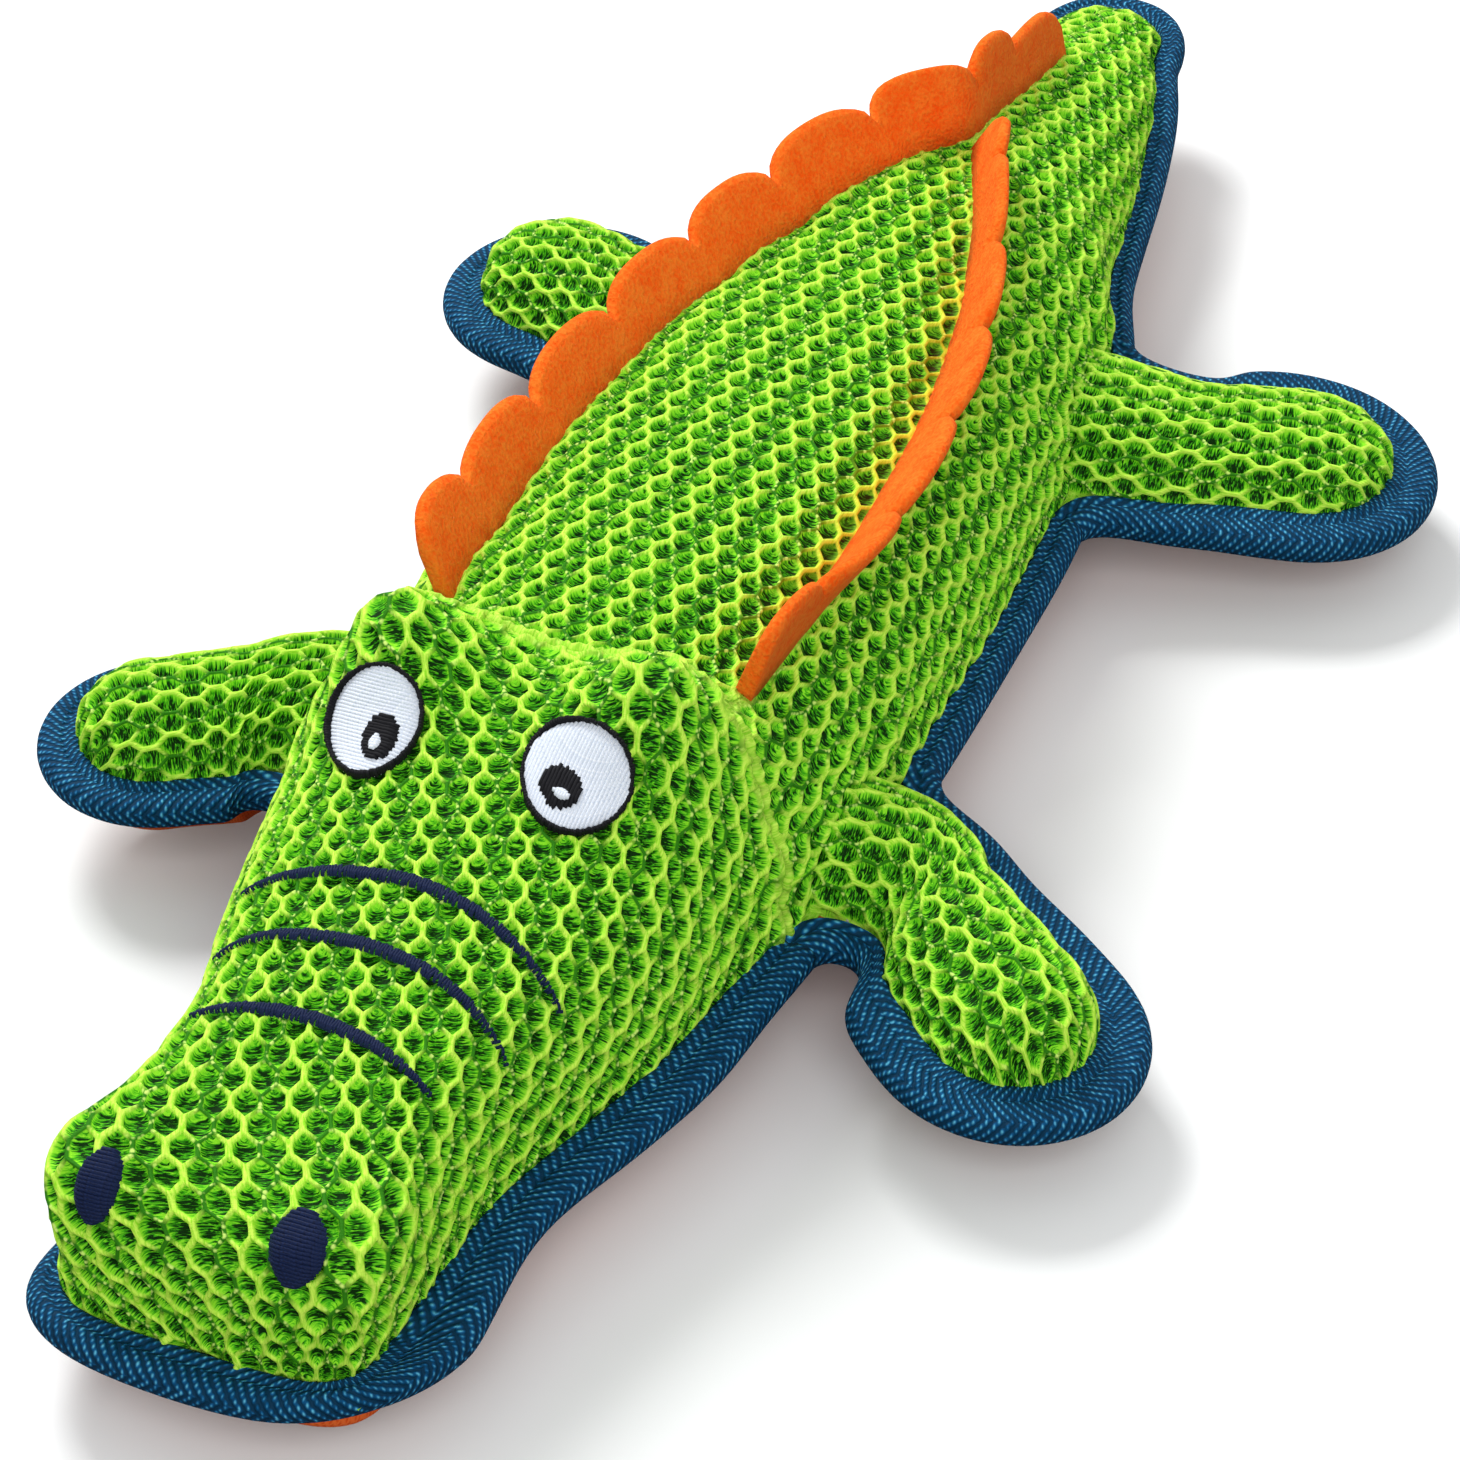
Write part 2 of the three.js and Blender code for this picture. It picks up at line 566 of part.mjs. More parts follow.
// Rings whose outline is not convex: the end caps are cut from the outline itself
function ringsToSolid(rings) {
  const count = rings[0].length;
  const positions = [];
  const index = [];
  for (const ring of rings) {
    for (const p of ring) positions.push(p.x, p.y, p.z);
  }
  for (let i = 0; i < rings.length - 1; i += 1) {
    for (let j = 0; j < count; j += 1) {
      const k = (j + 1) % count;
      const a = i * count + j;
      const b = i * count + k;
      index.push(a, b, b + count, a, b + count, a + count);
    }
  }
  const last = rings.length - 1;
  for (const [ring, first, flip] of [[rings[0], 0, true], [rings[last], last * count, false]]) {
    const u = ring[2].clone().sub(ring[1]).normalize();
    const v = ring[1].clone().sub(ring[6]);
    v.addScaledVector(u, -v.dot(u)).normalize();
    const from = (p) => p.clone().sub(ring[0]);
    const flat = ring.map((p) => new THREE.Vector2(from(p).dot(u), from(p).dot(v)));
    const clockwise = THREE.ShapeUtils.isClockWise(flat);
    const loop = clockwise ? flat.slice().reverse() : flat;
    for (const [a, b, c] of THREE.ShapeUtils.triangulateShape(loop, [])) {
      const turn = (n) => first + (clockwise ? count - 1 - n : n);
      const tri = [turn(a), turn(b), turn(c)];
      const wanted = clockwise !== flip;
      if (wanted) index.push(tri[2], tri[1], tri[0]);
      else index.push(tri[0], tri[1], tri[2]);
    }
  }
  return solidFrom(positions, index);
}

// Stations of the tape along one side of the body, from y to y
function sideTape(side, from, to, count) {
  const list = [];
  for (let i = 0; i <= count; i += 1) {
    const y = mix(from, to, i / count);
    list.push({
      inner: V(side * (through(PLAN, 1, y) + LIP), y, 0),
      outer: V(side * through(PLAN, 2, y), y, 0),
      z: through(SIDE, 1, y),
    });
  }
  return list;
}

// Tape round a blunt end, from the left shoulder across the middle to the right
function endTape(end) {
  const list = [];
  const c = through(PLAN, 1, end.shoulder) + LIP;
  const w = through(PLAN, 2, end.shoulder);
  const steps = 2 * END_STEPS;
  for (let i = 1; i < steps; i += 1) {
    const a = Math.PI * (i / steps);
    const across = Math.sign(Math.cos(a)) * Math.abs(Math.cos(a)) ** 0.62;
    const ahead = Math.sin(a) ** 0.62;
    const seamEnd = end.seam + Math.sign(end.seam) * LIP;
    list.push({
      inner: V(c * across, mix(end.shoulder, seamEnd, ahead), 0),
      outer: V(w * across, mix(end.shoulder, end.fold, ahead), 0),
      z: through(SIDE, 1, mix(end.shoulder, end.fold, ahead)),
    });
  }
  return list;
}

function legSpan(leg) {
  const reach = leg.root + leg.fold + 1.2 + GAP;
  return [leg.y - reach, leg.y + reach];
}

const frontSpan = legSpan(LEGS[0]);
const rearSpan = legSpan(LEGS[2]);

function headTape() {
  const left = sideTape(1, frontSpan[0], SNOUT.shoulder, 6);
  const right = sideTape(-1, SNOUT.shoulder, frontSpan[0], 6);
  return foldedTape([...left, ...endTape(SNOUT), ...right]);
}

function tailTape() {
  const left = sideTape(1, rearSpan[1], TAIL.shoulder, 5);
  const right = sideTape(-1, TAIL.shoulder, rearSpan[1], 5);
  return foldedTape([...left, ...endTape(TAIL), ...right]);
}

const flankTape = (side) => foldedTape(sideTape(side, frontSpan[1], rearSpan[0], 6));

// A felt ridge: scallops cut along one edge, standing in the seam and leaning outward
function ridge(side, grow = 0) {
  const long = side < 0;
  const stations = [];
  const steps = grow ? 3 : 5;
  for (let k = 0; k < SCALLOPS.length - 1; k += 1) {
    const [from, low, lobe] = SCALLOPS[k];
    const [to, next] = SCALLOPS[k + 1];
    if (!long && from >= RIDGE_JOIN) break;
    for (let i = k === 0 ? 0 : 1; i <= steps; i += 1) {
      const t = i / steps;
      const notch = mix(low, next, t);
      const bow = Math.sqrt(Math.max(0, 1 - Math.abs(2 * t - 1) ** 2.4));
      stations.push([mix(from, to, t), notch + (lobe - notch) * bow]);
    }
  }
  if (!long) stations[stations.length - 1][1] *= 0.35;
  const rings = stations.map(([y, tall]) => {
    const row = bodyRow(y, y, through(PLAN, 1, y), [0, y]);
    let base = through(RIDGE_LINE, 1, y);
    if (long) base *= 1 - smooth(y, RIDGE_JOIN - 16, RIDGE_JOIN);
    else base = Math.max(base, FELT_THICK + GAP);
    const foot = topPoint(row, angleAt(row, base));
    const lean = radians(through(long ? RIGHT_LEAN : LEFT_LEAN, 1, y));
    const up = V(Math.sin(lean) * side, 0, Math.cos(lean));
    const thick = V(Math.cos(lean) * side, 0, -Math.sin(lean)).multiplyScalar(FELT_THICK / 2 + grow);
    foot.x *= side;
    const head = foot.clone().addScaledVector(up, tall);
    foot.addScaledVector(up, -FELT_ROOT - 3 * grow);
    return [
      foot.clone().sub(thick), foot.clone().add(thick), head.clone().add(thick), head.clone().sub(thick),
    ];
  });
  return loft(rings);
}

const LEG_CAP_STEPS = 4;

// Leg rows along its line, all in the leg's own flat frame: x out from the hinge, y toward the tail
function legRows(leg) {
  const sweep = radians(leg.sweep);
  const rows = [];
  const count = 4;
  const radius = leg.pad + leg.fold;
  const straight = leg.length - radius;
  const rowAt = (s, c, up, down, flat) => {
    const turn = sweep * smooth(s / leg.length, 0, 0.55);
    const bend = sweep * clamp(s / leg.length / 0.3, 0, 1);
    const centre = V(s * Math.cos(bend), s * Math.sin(bend), 0);
    const across = V(-Math.sin(turn), Math.cos(turn), 0);
    const ahead = V(Math.cos(turn), Math.sin(turn), 0);
    return { centre, across, ahead, c, up, down, flat };
  };
  for (let i = 0; i <= count; i += 1) {
    const t = i / count;
    const c = mix(leg.root, leg.pad, smooth(t, 0, 1)) - Math.sin(Math.PI * t) * 0.6;
    const fold = mix(ROOT_FOLD, leg.fold, smooth(t, 0, 0.8));
    const up = mix(ROOT_RADIUS, leg.top, smooth(t, 0, 0.7));
    rows.push(rowAt(straight * t, c, up, mix(ROOT_RADIUS, LEG_SOLE, t), [c + fold - TAPE_TUCK, 0]));
  }
  for (let i = 1; i <= LEG_CAP_STEPS; i += 1) {
    const a = radians(i === LEG_CAP_STEPS ? 87 : (90 * i) / LEG_CAP_STEPS);
    const forward = leg.pad * Math.sin(a);
    const fill = i === LEG_CAP_STEPS ? 0.08 : Math.cos(a) ** 0.6;
    const flat = [(radius - TAPE_TUCK) * Math.cos(a), (radius - TAPE_TUCK) * Math.sin(a) - forward];
    rows.push(rowAt(straight + forward, leg.pad * Math.cos(a), leg.top * fill, LEG_SOLE * fill, flat));
  }
  return rows;
}

// From a leg's own frame to the part: mirrored by side, drooped about its hinge
function legToPart(leg, p) {
  const droop = radians(leg.droop);
  const x = p.x * Math.cos(droop) + p.z * Math.sin(droop);
  const z = -p.x * Math.sin(droop) + p.z * Math.cos(droop);
  return V(leg.side * (HINGE_X + x), leg.y + p.y, HINGE_Z + z);
}

const FAN_STEPS = 4;
const PANEL_FAN = 2; // of these steps, how many the panels reach back over the root
const LEG_ANGLES = mirrored([0, 22, 52, 90].map(radians));
const SOLE_ANGLES = mirrored([0, 38, 90].map(radians));

// One arc over or under a leg
function legLine(row, way) {
  const size = way > 0 ? row.up : row.down;
  return (way > 0 ? LEG_ANGLES : SOLE_ANGLES).map((e) => {
    const p = row.centre.clone().addScaledVector(row.across, row.c * arcX(e));
    return p.setZ(way * (GAP / 2 + (size - GAP / 2) * arcZ(e)));
  });
}

// The arcs of a leg from the back of its drum-shaped root, carried round the hinge line, out to its tip
function legShell(leg, way) {
  const lines = legRows(leg).map((row) => legLine(row, way));
  const fan = [];
  for (let i = FAN_STEPS; i > 0; i -= 1) {
    const a = (Math.PI / 2) * (i / FAN_STEPS);
    fan.push(lines[0].map((p) => V(-Math.abs(p.z) * Math.sin(a), p.y, way * Math.abs(p.z) * Math.cos(a))));
  }
  return [...fan, ...lines];
}

const legInside = (grid, depth, way) => sunk(grid, depth, way, () => 0, -1);

function legPanel(leg, way, thick) {
  const rows = legRows(leg);
  const outer = legShell(leg, way);
  const inner = legInside(outer, thick, way);
  const part = (grid, z) => {
    const lines = grid.slice(FAN_STEPS - PANEL_FAN).map((line, i) => {
      const row = rows[i - PANEL_FAN];
      if (!row) return [line[0], ...line, line[line.length - 1]];
      const out = (side) => {
        const p = row.centre.clone().addScaledVector(row.across, side * row.flat[0]);
        return p.addScaledVector(row.ahead, row.flat[1]).setZ(z);
      };
      return [out(1), ...line, out(-1)];
    });
    const tip = rows[rows.length - 1];
    const centre = tip.centre.clone().addScaledVector(tip.ahead, tip.flat[1]);
    const last = lines[0].length - 1;
    const end = lines[0].map((p, j) => (
      centre.clone().addScaledVector(tip.across, tip.flat[0] * (1 - (2 * j) / last)).setZ(z)
    ));
    return [...lines, end];
  };
  const onLeg = (grid) => grid.map((line) => line.map((p) => legToPart(leg, p)));
  return between(onLeg(part(outer, way * (GAP / 2 + FLANGE_THICK))), onLeg(part(inner, (way * GAP) / 2)));
}

function legFill(leg) {
  const over = legInside(legShell(leg, 1), MESH_THICK + FILL_GAP, 1);
  const under = legInside(legShell(leg, -1), CLOTH_THICK + FILL_GAP, -1);
  const loops = over.map((line, i) => [...line, ...under[i].slice().reverse()]);
  const rings = loops.map((loop) => loop.map((p) => legToPart(leg, p)));
  return loft(rings.slice(0, -1));
}

function legTape(leg) {
  const rows = legRows(leg).slice(0, -LEG_CAP_STEPS);
  const tip = rows[rows.length - 1];
  const stations = [];
  const along = (row, side) => ({
    inner: row.centre.clone().addScaledVector(row.across, side * (row.c + LIP)),
    outer: row.centre.clone().addScaledVector(row.across, side * (row.flat[0] + TAPE_TUCK)),
    z: 0,
  });
  for (const row of rows) stations.push(along(row, 1));
  const steps = 2 * LEG_CAP_STEPS;
  for (let i = 1; i < steps; i += 1) {
    const a = Math.PI * (i / steps);
    const dir = tip.across.clone().multiplyScalar(Math.cos(a)).addScaledVector(tip.ahead, Math.sin(a));
    stations.push({
      inner: tip.centre.clone().addScaledVector(dir, leg.pad + LIP),
      outer: tip.centre.clone().addScaledVector(dir, leg.pad + leg.fold),
      z: 0,
    });
  }
  for (const row of rows.slice().reverse()) stations.push(along(row, -1));
  const flat = foldedTape(stations);
  const moved = toGeometry(flat);
  const position = moved.attributes.position;
  for (let i = 0; i < position.count; i += 1) {
    const p = legToPart(leg, V(position.getX(i), position.getY(i), position.getZ(i)));
    position.setXYZ(i, p.x, p.y, p.z);
  }
  return toManifold(moved);
}

// Embroidery: patches laid on the cover along a direction, a little over it
function drape(target, patch, direction, low, thick) {
  const caster = new THREE.Raycaster();
  const away = direction.clone().normalize();
  const drop = (p, raise) => {
    caster.set(p.clone().addScaledVector(away, 60), away.clone().negate());
    const hit = caster.intersectObject(target)[0];
    return hit.point.addScaledVector(away, raise);
  };
  const outer = patch.map((line) => line.map((p) => drop(p, low + thick)));
  const inner = patch.map((line) => line.map((p) => drop(p, low)));
  return { outer, inner };
}

// An oval or ring patch as rows of points from the middle outward
function ovalPatch(centre, right, up, from, to, rings, spokes) {
  const patch = [];
  for (let i = 0; i <= rings; i += 1) {
    const line = [];
    for (let j = 0; j < spokes; j += 1) {
      const a = (2 * Math.PI * j) / spokes;
      const w = mix(from[0], to[0], i / rings);
      const h = mix(from[1], to[1], i / rings);
      const point = centre.clone().addScaledVector(right, w * Math.cos(a));
      line.push(point.addScaledVector(up, h * Math.sin(a)));
    }
    patch.push(line);
  }
  return patch;
}

function stitched(target, patch, direction, low, thick, closedMiddle) {
  const { outer, inner } = drape(target, patch, direction, low, thick);
  const positions = [];
  const index = [];
  const spokes = patch[0].length;
  const rings = patch.length;
  for (const grid of [outer, inner]) {
    for (const line of grid) for (const p of line) positions.push(p.x, p.y, p.z);
  }
  const at = (layer, i, j) => layer * rings * spokes + i * spokes + (j % spokes);
  const quad = (a, b, c, d) => index.push(a, b, c, a, c, d);
  for (let i = 0; i < rings - 1; i += 1) {
    for (let j = 0; j < spokes; j += 1) {
      quad(at(0, i, j), at(0, i + 1, j), at(0, i + 1, j + 1), at(0, i, j + 1));
      quad(at(1, i, j), at(1, i, j + 1), at(1, i + 1, j + 1), at(1, i + 1, j));
    }
  }
  for (let j = 0; j < spokes; j += 1) {
    const e = rings - 1;
    quad(at(0, e, j), at(1, e, j), at(1, e, j + 1), at(0, e, j + 1));
    if (!closedMiddle) quad(at(0, 0, j), at(0, 0, j + 1), at(1, 0, j + 1), at(1, 0, j));
  }
  if (closedMiddle) {
    for (const [layer, flip] of [[0, false], [1, true]]) {
      for (let j = 1; j < spokes - 1; j += 1) {
        const tri = [at(layer, 0, 0), at(layer, 0, j), at(layer, 0, j + 1)];
        index.push(...(flip ? tri.reverse() : tri));
      }
    }
  }
  return solidFrom(positions, index);
}

function eye(side, cover) {
  const label = side > 0 ? 'left' : 'right';
  const out = V(0.28 * side, -0.72, 0.64).normalize();
  const right = V(1, 0, 0).addScaledVector(out, -out.x).normalize();
  const up = out.clone().cross(right).normalize();
  const centre = V(side * EYE.x, EYE.y, EYE.z);
  const a = EYE.wide / 2;
  const b = EYE.tall / 2;
  const inner = [a - EYE.ring, b - EYE.ring];
  const ring = ovalPatch(centre, right, up, inner, [a, b], 1, 20);
  const lifted = out.clone().multiplyScalar(GAP).toArray();
  const clear = (solid) => solid.subtract(toManifold(cover.geometry).translate(lifted));
  const rim = stitched(cover, ring, out, STITCH_LIFT, THREAD_THICK, false);
  place(`eye_outline_${label}`, clear(rim), blackThread());
  const white = ovalPatch(centre, right, up, [1.5, 1.8], [inner[0] - GAP, inner[1] - GAP], 2, 20);
  const ball = stitched(cover, white, out, STITCH_LIFT, THREAD_THICK, true);
  place(`eye_white_${label}`, clear(ball), whiteThread());
  const look = centre.clone().addScaledVector(up, -b * 0.2).addScaledVector(right, -0.12 * a * side);
  const [pw, ph] = EYE.pupil;
  const pupil = ovalPatch(look, right, up, [0.8, 1], [pw / 2, ph / 2], 1, 12);
  const second = STITCH_LIFT + GAP + THREAD_THICK;
  place(`eye_pupil_${label}`, stitched(cover, pupil, out, second, 0.5, true), blackThread());
  const glintAt = look.clone().addScaledVector(up, -ph * 0.18).addScaledVector(right, 0.3 * side);
  const glint = ovalPatch(glintAt, right, up, [0.4, 0.4], [EYE.glint / 2, EYE.glint / 2], 1, 8);
  place(`eye_glint_${label}`, stitched(cover, glint, out, second + 0.5 + GAP, 0.4, true), whiteThread());
}

function nostril(side, cover) {
  const out = V(0.12 * side, -0.93, 0.35).normalize();
  const right = V(1, 0, 0).addScaledVector(out, -out.x).normalize();
  const up = out.clone().cross(right).normalize();
  const centre = V(side * NOSTRIL.x, NOSTRIL.y, NOSTRIL.z);
  const patch = ovalPatch(centre, right, up, [1, 1.4], [NOSTRIL.wide / 2, NOSTRIL.tall / 2], 2, 14);
  const solid = stitched(cover, patch, out, STITCH_LIFT, THREAD_THICK, true);
  const ahead = out.clone().multiplyScalar(GAP).toArray();
  const clear = solid.subtract(toManifold(cover.geometry).translate(ahead));
  place(`nostril_${side > 0 ? 'left' : 'right'}`, clear, navyThread());
}

function wrinkle([middle, ends, half], number, cover) {
  const patch = [];
  const count = 18;
  for (let i = 0; i <= count; i += 1) {
    const t = (2 * i) / count - 1;
    const y = mix(middle, ends, t * t);
    const w = (WRINKLE_WIDE / 2) * Math.max(1 - t * t, 0.12) ** 0.6;
    patch.push([-1, 0, 1].map((k) => V(half * t, y + k * w, 40)));
  }
  const { outer, inner } = drape(cover, patch, V(0, 0, 1), STITCH_LIFT, THREAD_THICK);
  const solid = between(outer, inner).subtract(toManifold(cover.geometry).translate([0, 0, GAP]));
  place(`snout_wrinkle_${number}`, solid, navyThread());
}

// Squeaker: a round bulb with a short neck, a valve ring in the neck and a reed across it
function squeaker() {
  const { radius, tall, wall, y, z, neck } = BULB;
  const centre = V(0, y, z + tall / 2);
  const bowl = (r, h) => {
    const points = [new THREE.Vector2(0, -h / 2)];
    for (let i = 1; i < 6; i += 1) {
      const a = radians(-90 + (180 * i) / 6);
      points.push(new THREE.Vector2(r * Math.cos(a) ** 0.6, (h / 2) * Math.sin(a)));
    }
    points.push(new THREE.Vector2(0, h / 2));
    const turned = new THREE.LatheGeometry(points, 18);
    turned.rotateX(-Math.PI / 2);
    turned.translate(centre.x, centre.y, centre.z);
    return toManifold(turned);
  };
  const bore = new THREE.CylinderGeometry(neck - wall, neck - wall, 9, 16);
  bore.rotateX(Math.PI / 2);
  bore.translate(centre.x, centre.y, centre.z - tall / 2 - 1.5);
  const outer = bowl(radius, tall);
  const stub = new THREE.CylinderGeometry(neck, neck, 5, 18);
  stub.rotateX(Math.PI / 2);
  stub.translate(centre.x, centre.y, centre.z - tall / 2 - 1.2);
  const hollow = bowl(radius - wall, tall - 2 * wall).add(toManifold(bore));
  const shell = outer.add(toManifold(stub)).subtract(hollow);
  place('squeaker_bulb', shell, softPlastic());
  const valveOuter = neck - wall - GAP;
  const ring = new THREE.CylinderGeometry(valveOuter, valveOuter, 4, 16);
  const hole = new THREE.CylinderGeometry(valveOuter - 1.1, valveOuter - 1.1, 5, 16);
  const lip = centre.z - tall / 2 - 1.6;
  for (const g of [ring, hole]) {
    g.rotateX(Math.PI / 2);
    g.translate(centre.x, centre.y, lip);
  }
  place('squeaker_valve', toManifold(ring).subtract(toManifold(hole)), softPlastic());
  const reed = new THREE.BoxGeometry(1.6, 0.25, 3);
  reed.translate(centre.x, centre.y, lip);
  place('squeaker_reed', toManifold(reed), slab(0xb9c0c8, 0.35));
  const pocket = new THREE.CylinderGeometry(radius + GAP, radius + GAP, tall + 14, 18);
  pocket.rotateX(Math.PI / 2);
  pocket.translate(centre.x, centre.y, centre.z + GAP - 7);
  return toManifold(pocket);
}

const cover = place('head_cover', headCover(), airMesh());
place('back_panel', backPanel(), airMesh());
place('flank_panel_left', flankPanel(1), airMesh());
place('flank_panel_right', flankPanel(-1), airMesh());
place('belly_panel', bellyPanel(), bellyCloth());
const pocket = squeaker();
place('body_stuffing', clearOfLegs(bodyFill()).subtract(pocket), fibreFill());
place('tape_head', headTape(), tapeWeave());
place('tape_tail', tailTape(), tapeWeave());
place('tape_flank_left', flankTape(1), tapeWeave());
place('tape_flank_right', flankTape(-1), tapeWeave());
place('ridge_right', ridge(-1), orangeFelt());
place('ridge_left', ridge(1), orangeFelt());
for (const leg of LEGS) {
  place(`${leg.name}_cover`, legPanel(leg, 1, MESH_THICK), airMesh());
  place(`${leg.name}_sole`, legPanel(leg, -1, CLOTH_THICK), bellyCloth());
  place(`${leg.name}_tape`, legTape(leg), tapeWeave());
  place(`${leg.name}_stuffing`, legFill(leg), fibreFill());
}
cover.updateMatrixWorld();
for (const side of [1, -1]) {
  eye(side, cover);
  nostril(side, cover);
}
WRINKLES.forEach((line, i) => wrinkle(line, i + 1, cover));

// The snout swings a little to the toy's right, and the whole part is set on the middle of its own box
for (const mesh of group.children) {
  const position = mesh.geometry.attributes.position;
  for (let i = 0; i < position.count; i += 1) {
    position.setX(i, position.getX(i) - SNOUT_SWING * smooth(-position.getY(i), 125, 185));
  }
}
const middle = new THREE.Box3().setFromObject(group).getCenter(V(0, 0, 0));
for (const mesh of group.children) {
  mesh.geometry.translate(-middle.x, -middle.y, 0);
  mesh.geometry.computeVertexNormals();
}

export default group;
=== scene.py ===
import math

import bpy
import numpy as np
from mathutils import Matrix, Vector
from mathutils.bvhtree import BVHTree


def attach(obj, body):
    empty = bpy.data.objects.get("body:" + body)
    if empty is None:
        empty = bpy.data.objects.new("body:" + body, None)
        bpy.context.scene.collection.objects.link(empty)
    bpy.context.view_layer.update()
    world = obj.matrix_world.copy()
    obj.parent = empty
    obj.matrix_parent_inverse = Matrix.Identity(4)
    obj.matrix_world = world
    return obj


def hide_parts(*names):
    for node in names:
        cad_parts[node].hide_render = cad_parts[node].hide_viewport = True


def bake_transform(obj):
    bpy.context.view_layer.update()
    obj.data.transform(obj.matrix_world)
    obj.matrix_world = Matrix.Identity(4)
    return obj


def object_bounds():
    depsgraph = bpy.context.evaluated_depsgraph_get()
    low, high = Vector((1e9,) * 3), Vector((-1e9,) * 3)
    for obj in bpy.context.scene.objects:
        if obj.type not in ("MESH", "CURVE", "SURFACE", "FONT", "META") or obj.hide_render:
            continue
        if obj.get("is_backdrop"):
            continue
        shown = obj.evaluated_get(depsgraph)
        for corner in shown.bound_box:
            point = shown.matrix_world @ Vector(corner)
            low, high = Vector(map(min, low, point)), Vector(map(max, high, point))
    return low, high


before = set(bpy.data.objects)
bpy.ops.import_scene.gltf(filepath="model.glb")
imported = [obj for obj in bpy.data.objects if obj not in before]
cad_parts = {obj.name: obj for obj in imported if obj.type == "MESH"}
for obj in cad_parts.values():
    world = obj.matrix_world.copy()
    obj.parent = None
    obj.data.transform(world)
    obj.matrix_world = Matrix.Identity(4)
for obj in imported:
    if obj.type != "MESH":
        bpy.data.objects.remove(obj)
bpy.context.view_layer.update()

# The camera stands ahead of the toy and to its left, looking down at it, a little rolled.
# Its place comes from the toy's landmarks, and the lens from its distance.
AIM = Vector((0.008635, -0.03608, 0.020))
AZIMUTH, ELEVATION, ROLL = math.radians(23.75), math.radians(39.53), math.radians(-0.63)
CAMERA_DISTANCE = 0.75623
PHOTO_PIXELS = 1460
FOCAL_PIXELS = 4738.09
SENSOR = 36.0

back = Vector((
    math.sin(AZIMUTH) * math.cos(ELEVATION),
    -math.cos(AZIMUTH) * math.cos(ELEVATION),
    math.sin(ELEVATION),
))
level = Vector((math.cos(AZIMUTH), math.sin(AZIMUTH), 0))
upright = back.cross(level)
view_right = level * math.cos(ROLL) + upright * math.sin(ROLL)
view_up = upright * math.cos(ROLL) - level * math.sin(ROLL)
bpy.ops.object.camera_add(location=AIM + back * CAMERA_DISTANCE)
camera = bpy.context.object
camera.name = "photo_camera"
camera.rotation_euler = Matrix((view_right, view_up, back)).transposed().to_euler()
camera.data.sensor_width = SENSOR
camera.data.lens = SENSOR * FOCAL_PIXELS / PHOTO_PIXELS
camera.data.clip_start = 0.05
camera.data.clip_end = 20
bpy.context.scene.camera = camera

# Studio: a pale floor and even soft light, the main lamp from behind on the toy's right.
# The world is white to the camera and in reflections, and an even grey as light.
bpy.context.scene.view_settings.view_transform = "Standard"


def linear(hex_colour):
    """A material's RGBA from an sRGB hex colour."""
    parts = [int(hex_colour[i:i + 2], 16) / 255 for i in (1, 3, 5)]
    return tuple(c / 12.92 if c <= 0.04045 else ((c + 0.055) / 1.055) ** 2.4 for c in parts) + (1.0,)


def add_node(tree, kind, links=None, stops=(), **settings):
    """Adds a node, sets its properties, its sockets and a ramp's stops, and links its inputs."""
    node = tree.nodes.new(kind)
    for name, value in settings.items():
        if name.startswith("in_"):
            key = name[3:]
            key = int(key) if key.isdigit() else key.replace("_", " ")
            node.inputs[key].default_value = value
        else:
            setattr(node, name, value)
    for key, source in (links or {}).items():
        tree.links.new(source, node.inputs[key])
    if stops:
        elements = node.color_ramp.elements
        elements[0].position = stops[0][0]
        elements[1].position = stops[-1][0]
        for place, _ in stops[1:-1]:
            elements.new(place)
        for element, (_, colour) in zip(elements, stops):
            element.color = linear(colour)
    return node


def new_material(name):
    material = bpy.data.materials.new(name)
    material.use_nodes = True
    tree = material.node_tree
    return material, tree, tree.nodes["Principled BSDF"]


world = bpy.data.worlds.new("studio")
bpy.context.scene.world = world
world.use_nodes = True
tree = world.node_tree
seen = tree.nodes["Background"]
seen.inputs["Color"].default_value = (1, 1, 1, 1)
seen.inputs["Strength"].default_value = 1.0
soft = add_node(tree, "ShaderNodeBackground", in_Color=(1, 1, 1, 1), in_Strength=0.58)
path = add_node(tree, "ShaderNodeLightPath")
either = add_node(tree, "ShaderNodeMath", {
    0: path.outputs["Is Camera Ray"], 1: path.outputs["Is Glossy Ray"],
}, operation="MAXIMUM")
clear = add_node(tree, "ShaderNodeMath", {
    0: either.outputs[0], 1: path.outputs["Is Transmission Ray"],
}, operation="MAXIMUM")
mixed = add_node(tree, "ShaderNodeMixShader", {0: clear.outputs[0], 1: soft.outputs[0], 2: seen.outputs[0]})
tree.links.new(mixed.outputs[0], tree.nodes["World Output"].inputs["Surface"])

for name, place, size, watts in (
    ("key_lamp", (-0.75, 0.55, 1.05), 0.55, 17.0),
    ("fill_lamp", (0.5, -0.95, 0.9), 0.9, 7.0),
):
    bpy.ops.object.light_add(type="AREA", location=place)
    lamp = bpy.context.object
    lamp.name = name
    lamp.data.size = size
    lamp.data.energy = watts
    lamp.rotation_euler = (Vector(place) - Vector((0, 0, 0.02))).to_track_quat("Z", "Y").to_euler()

bpy.ops.object.select_all(action="DESELECT")
FLOOR_SIZE = 6.0
bpy.ops.mesh.primitive_plane_add(size=FLOOR_SIZE, location=(0, 0, 0))
floor = bpy.context.object
floor.name = "studio_floor"
floor_paper, tree, shader = new_material("matt white paper")
ray = add_node(tree, "ShaderNodeLightPath")
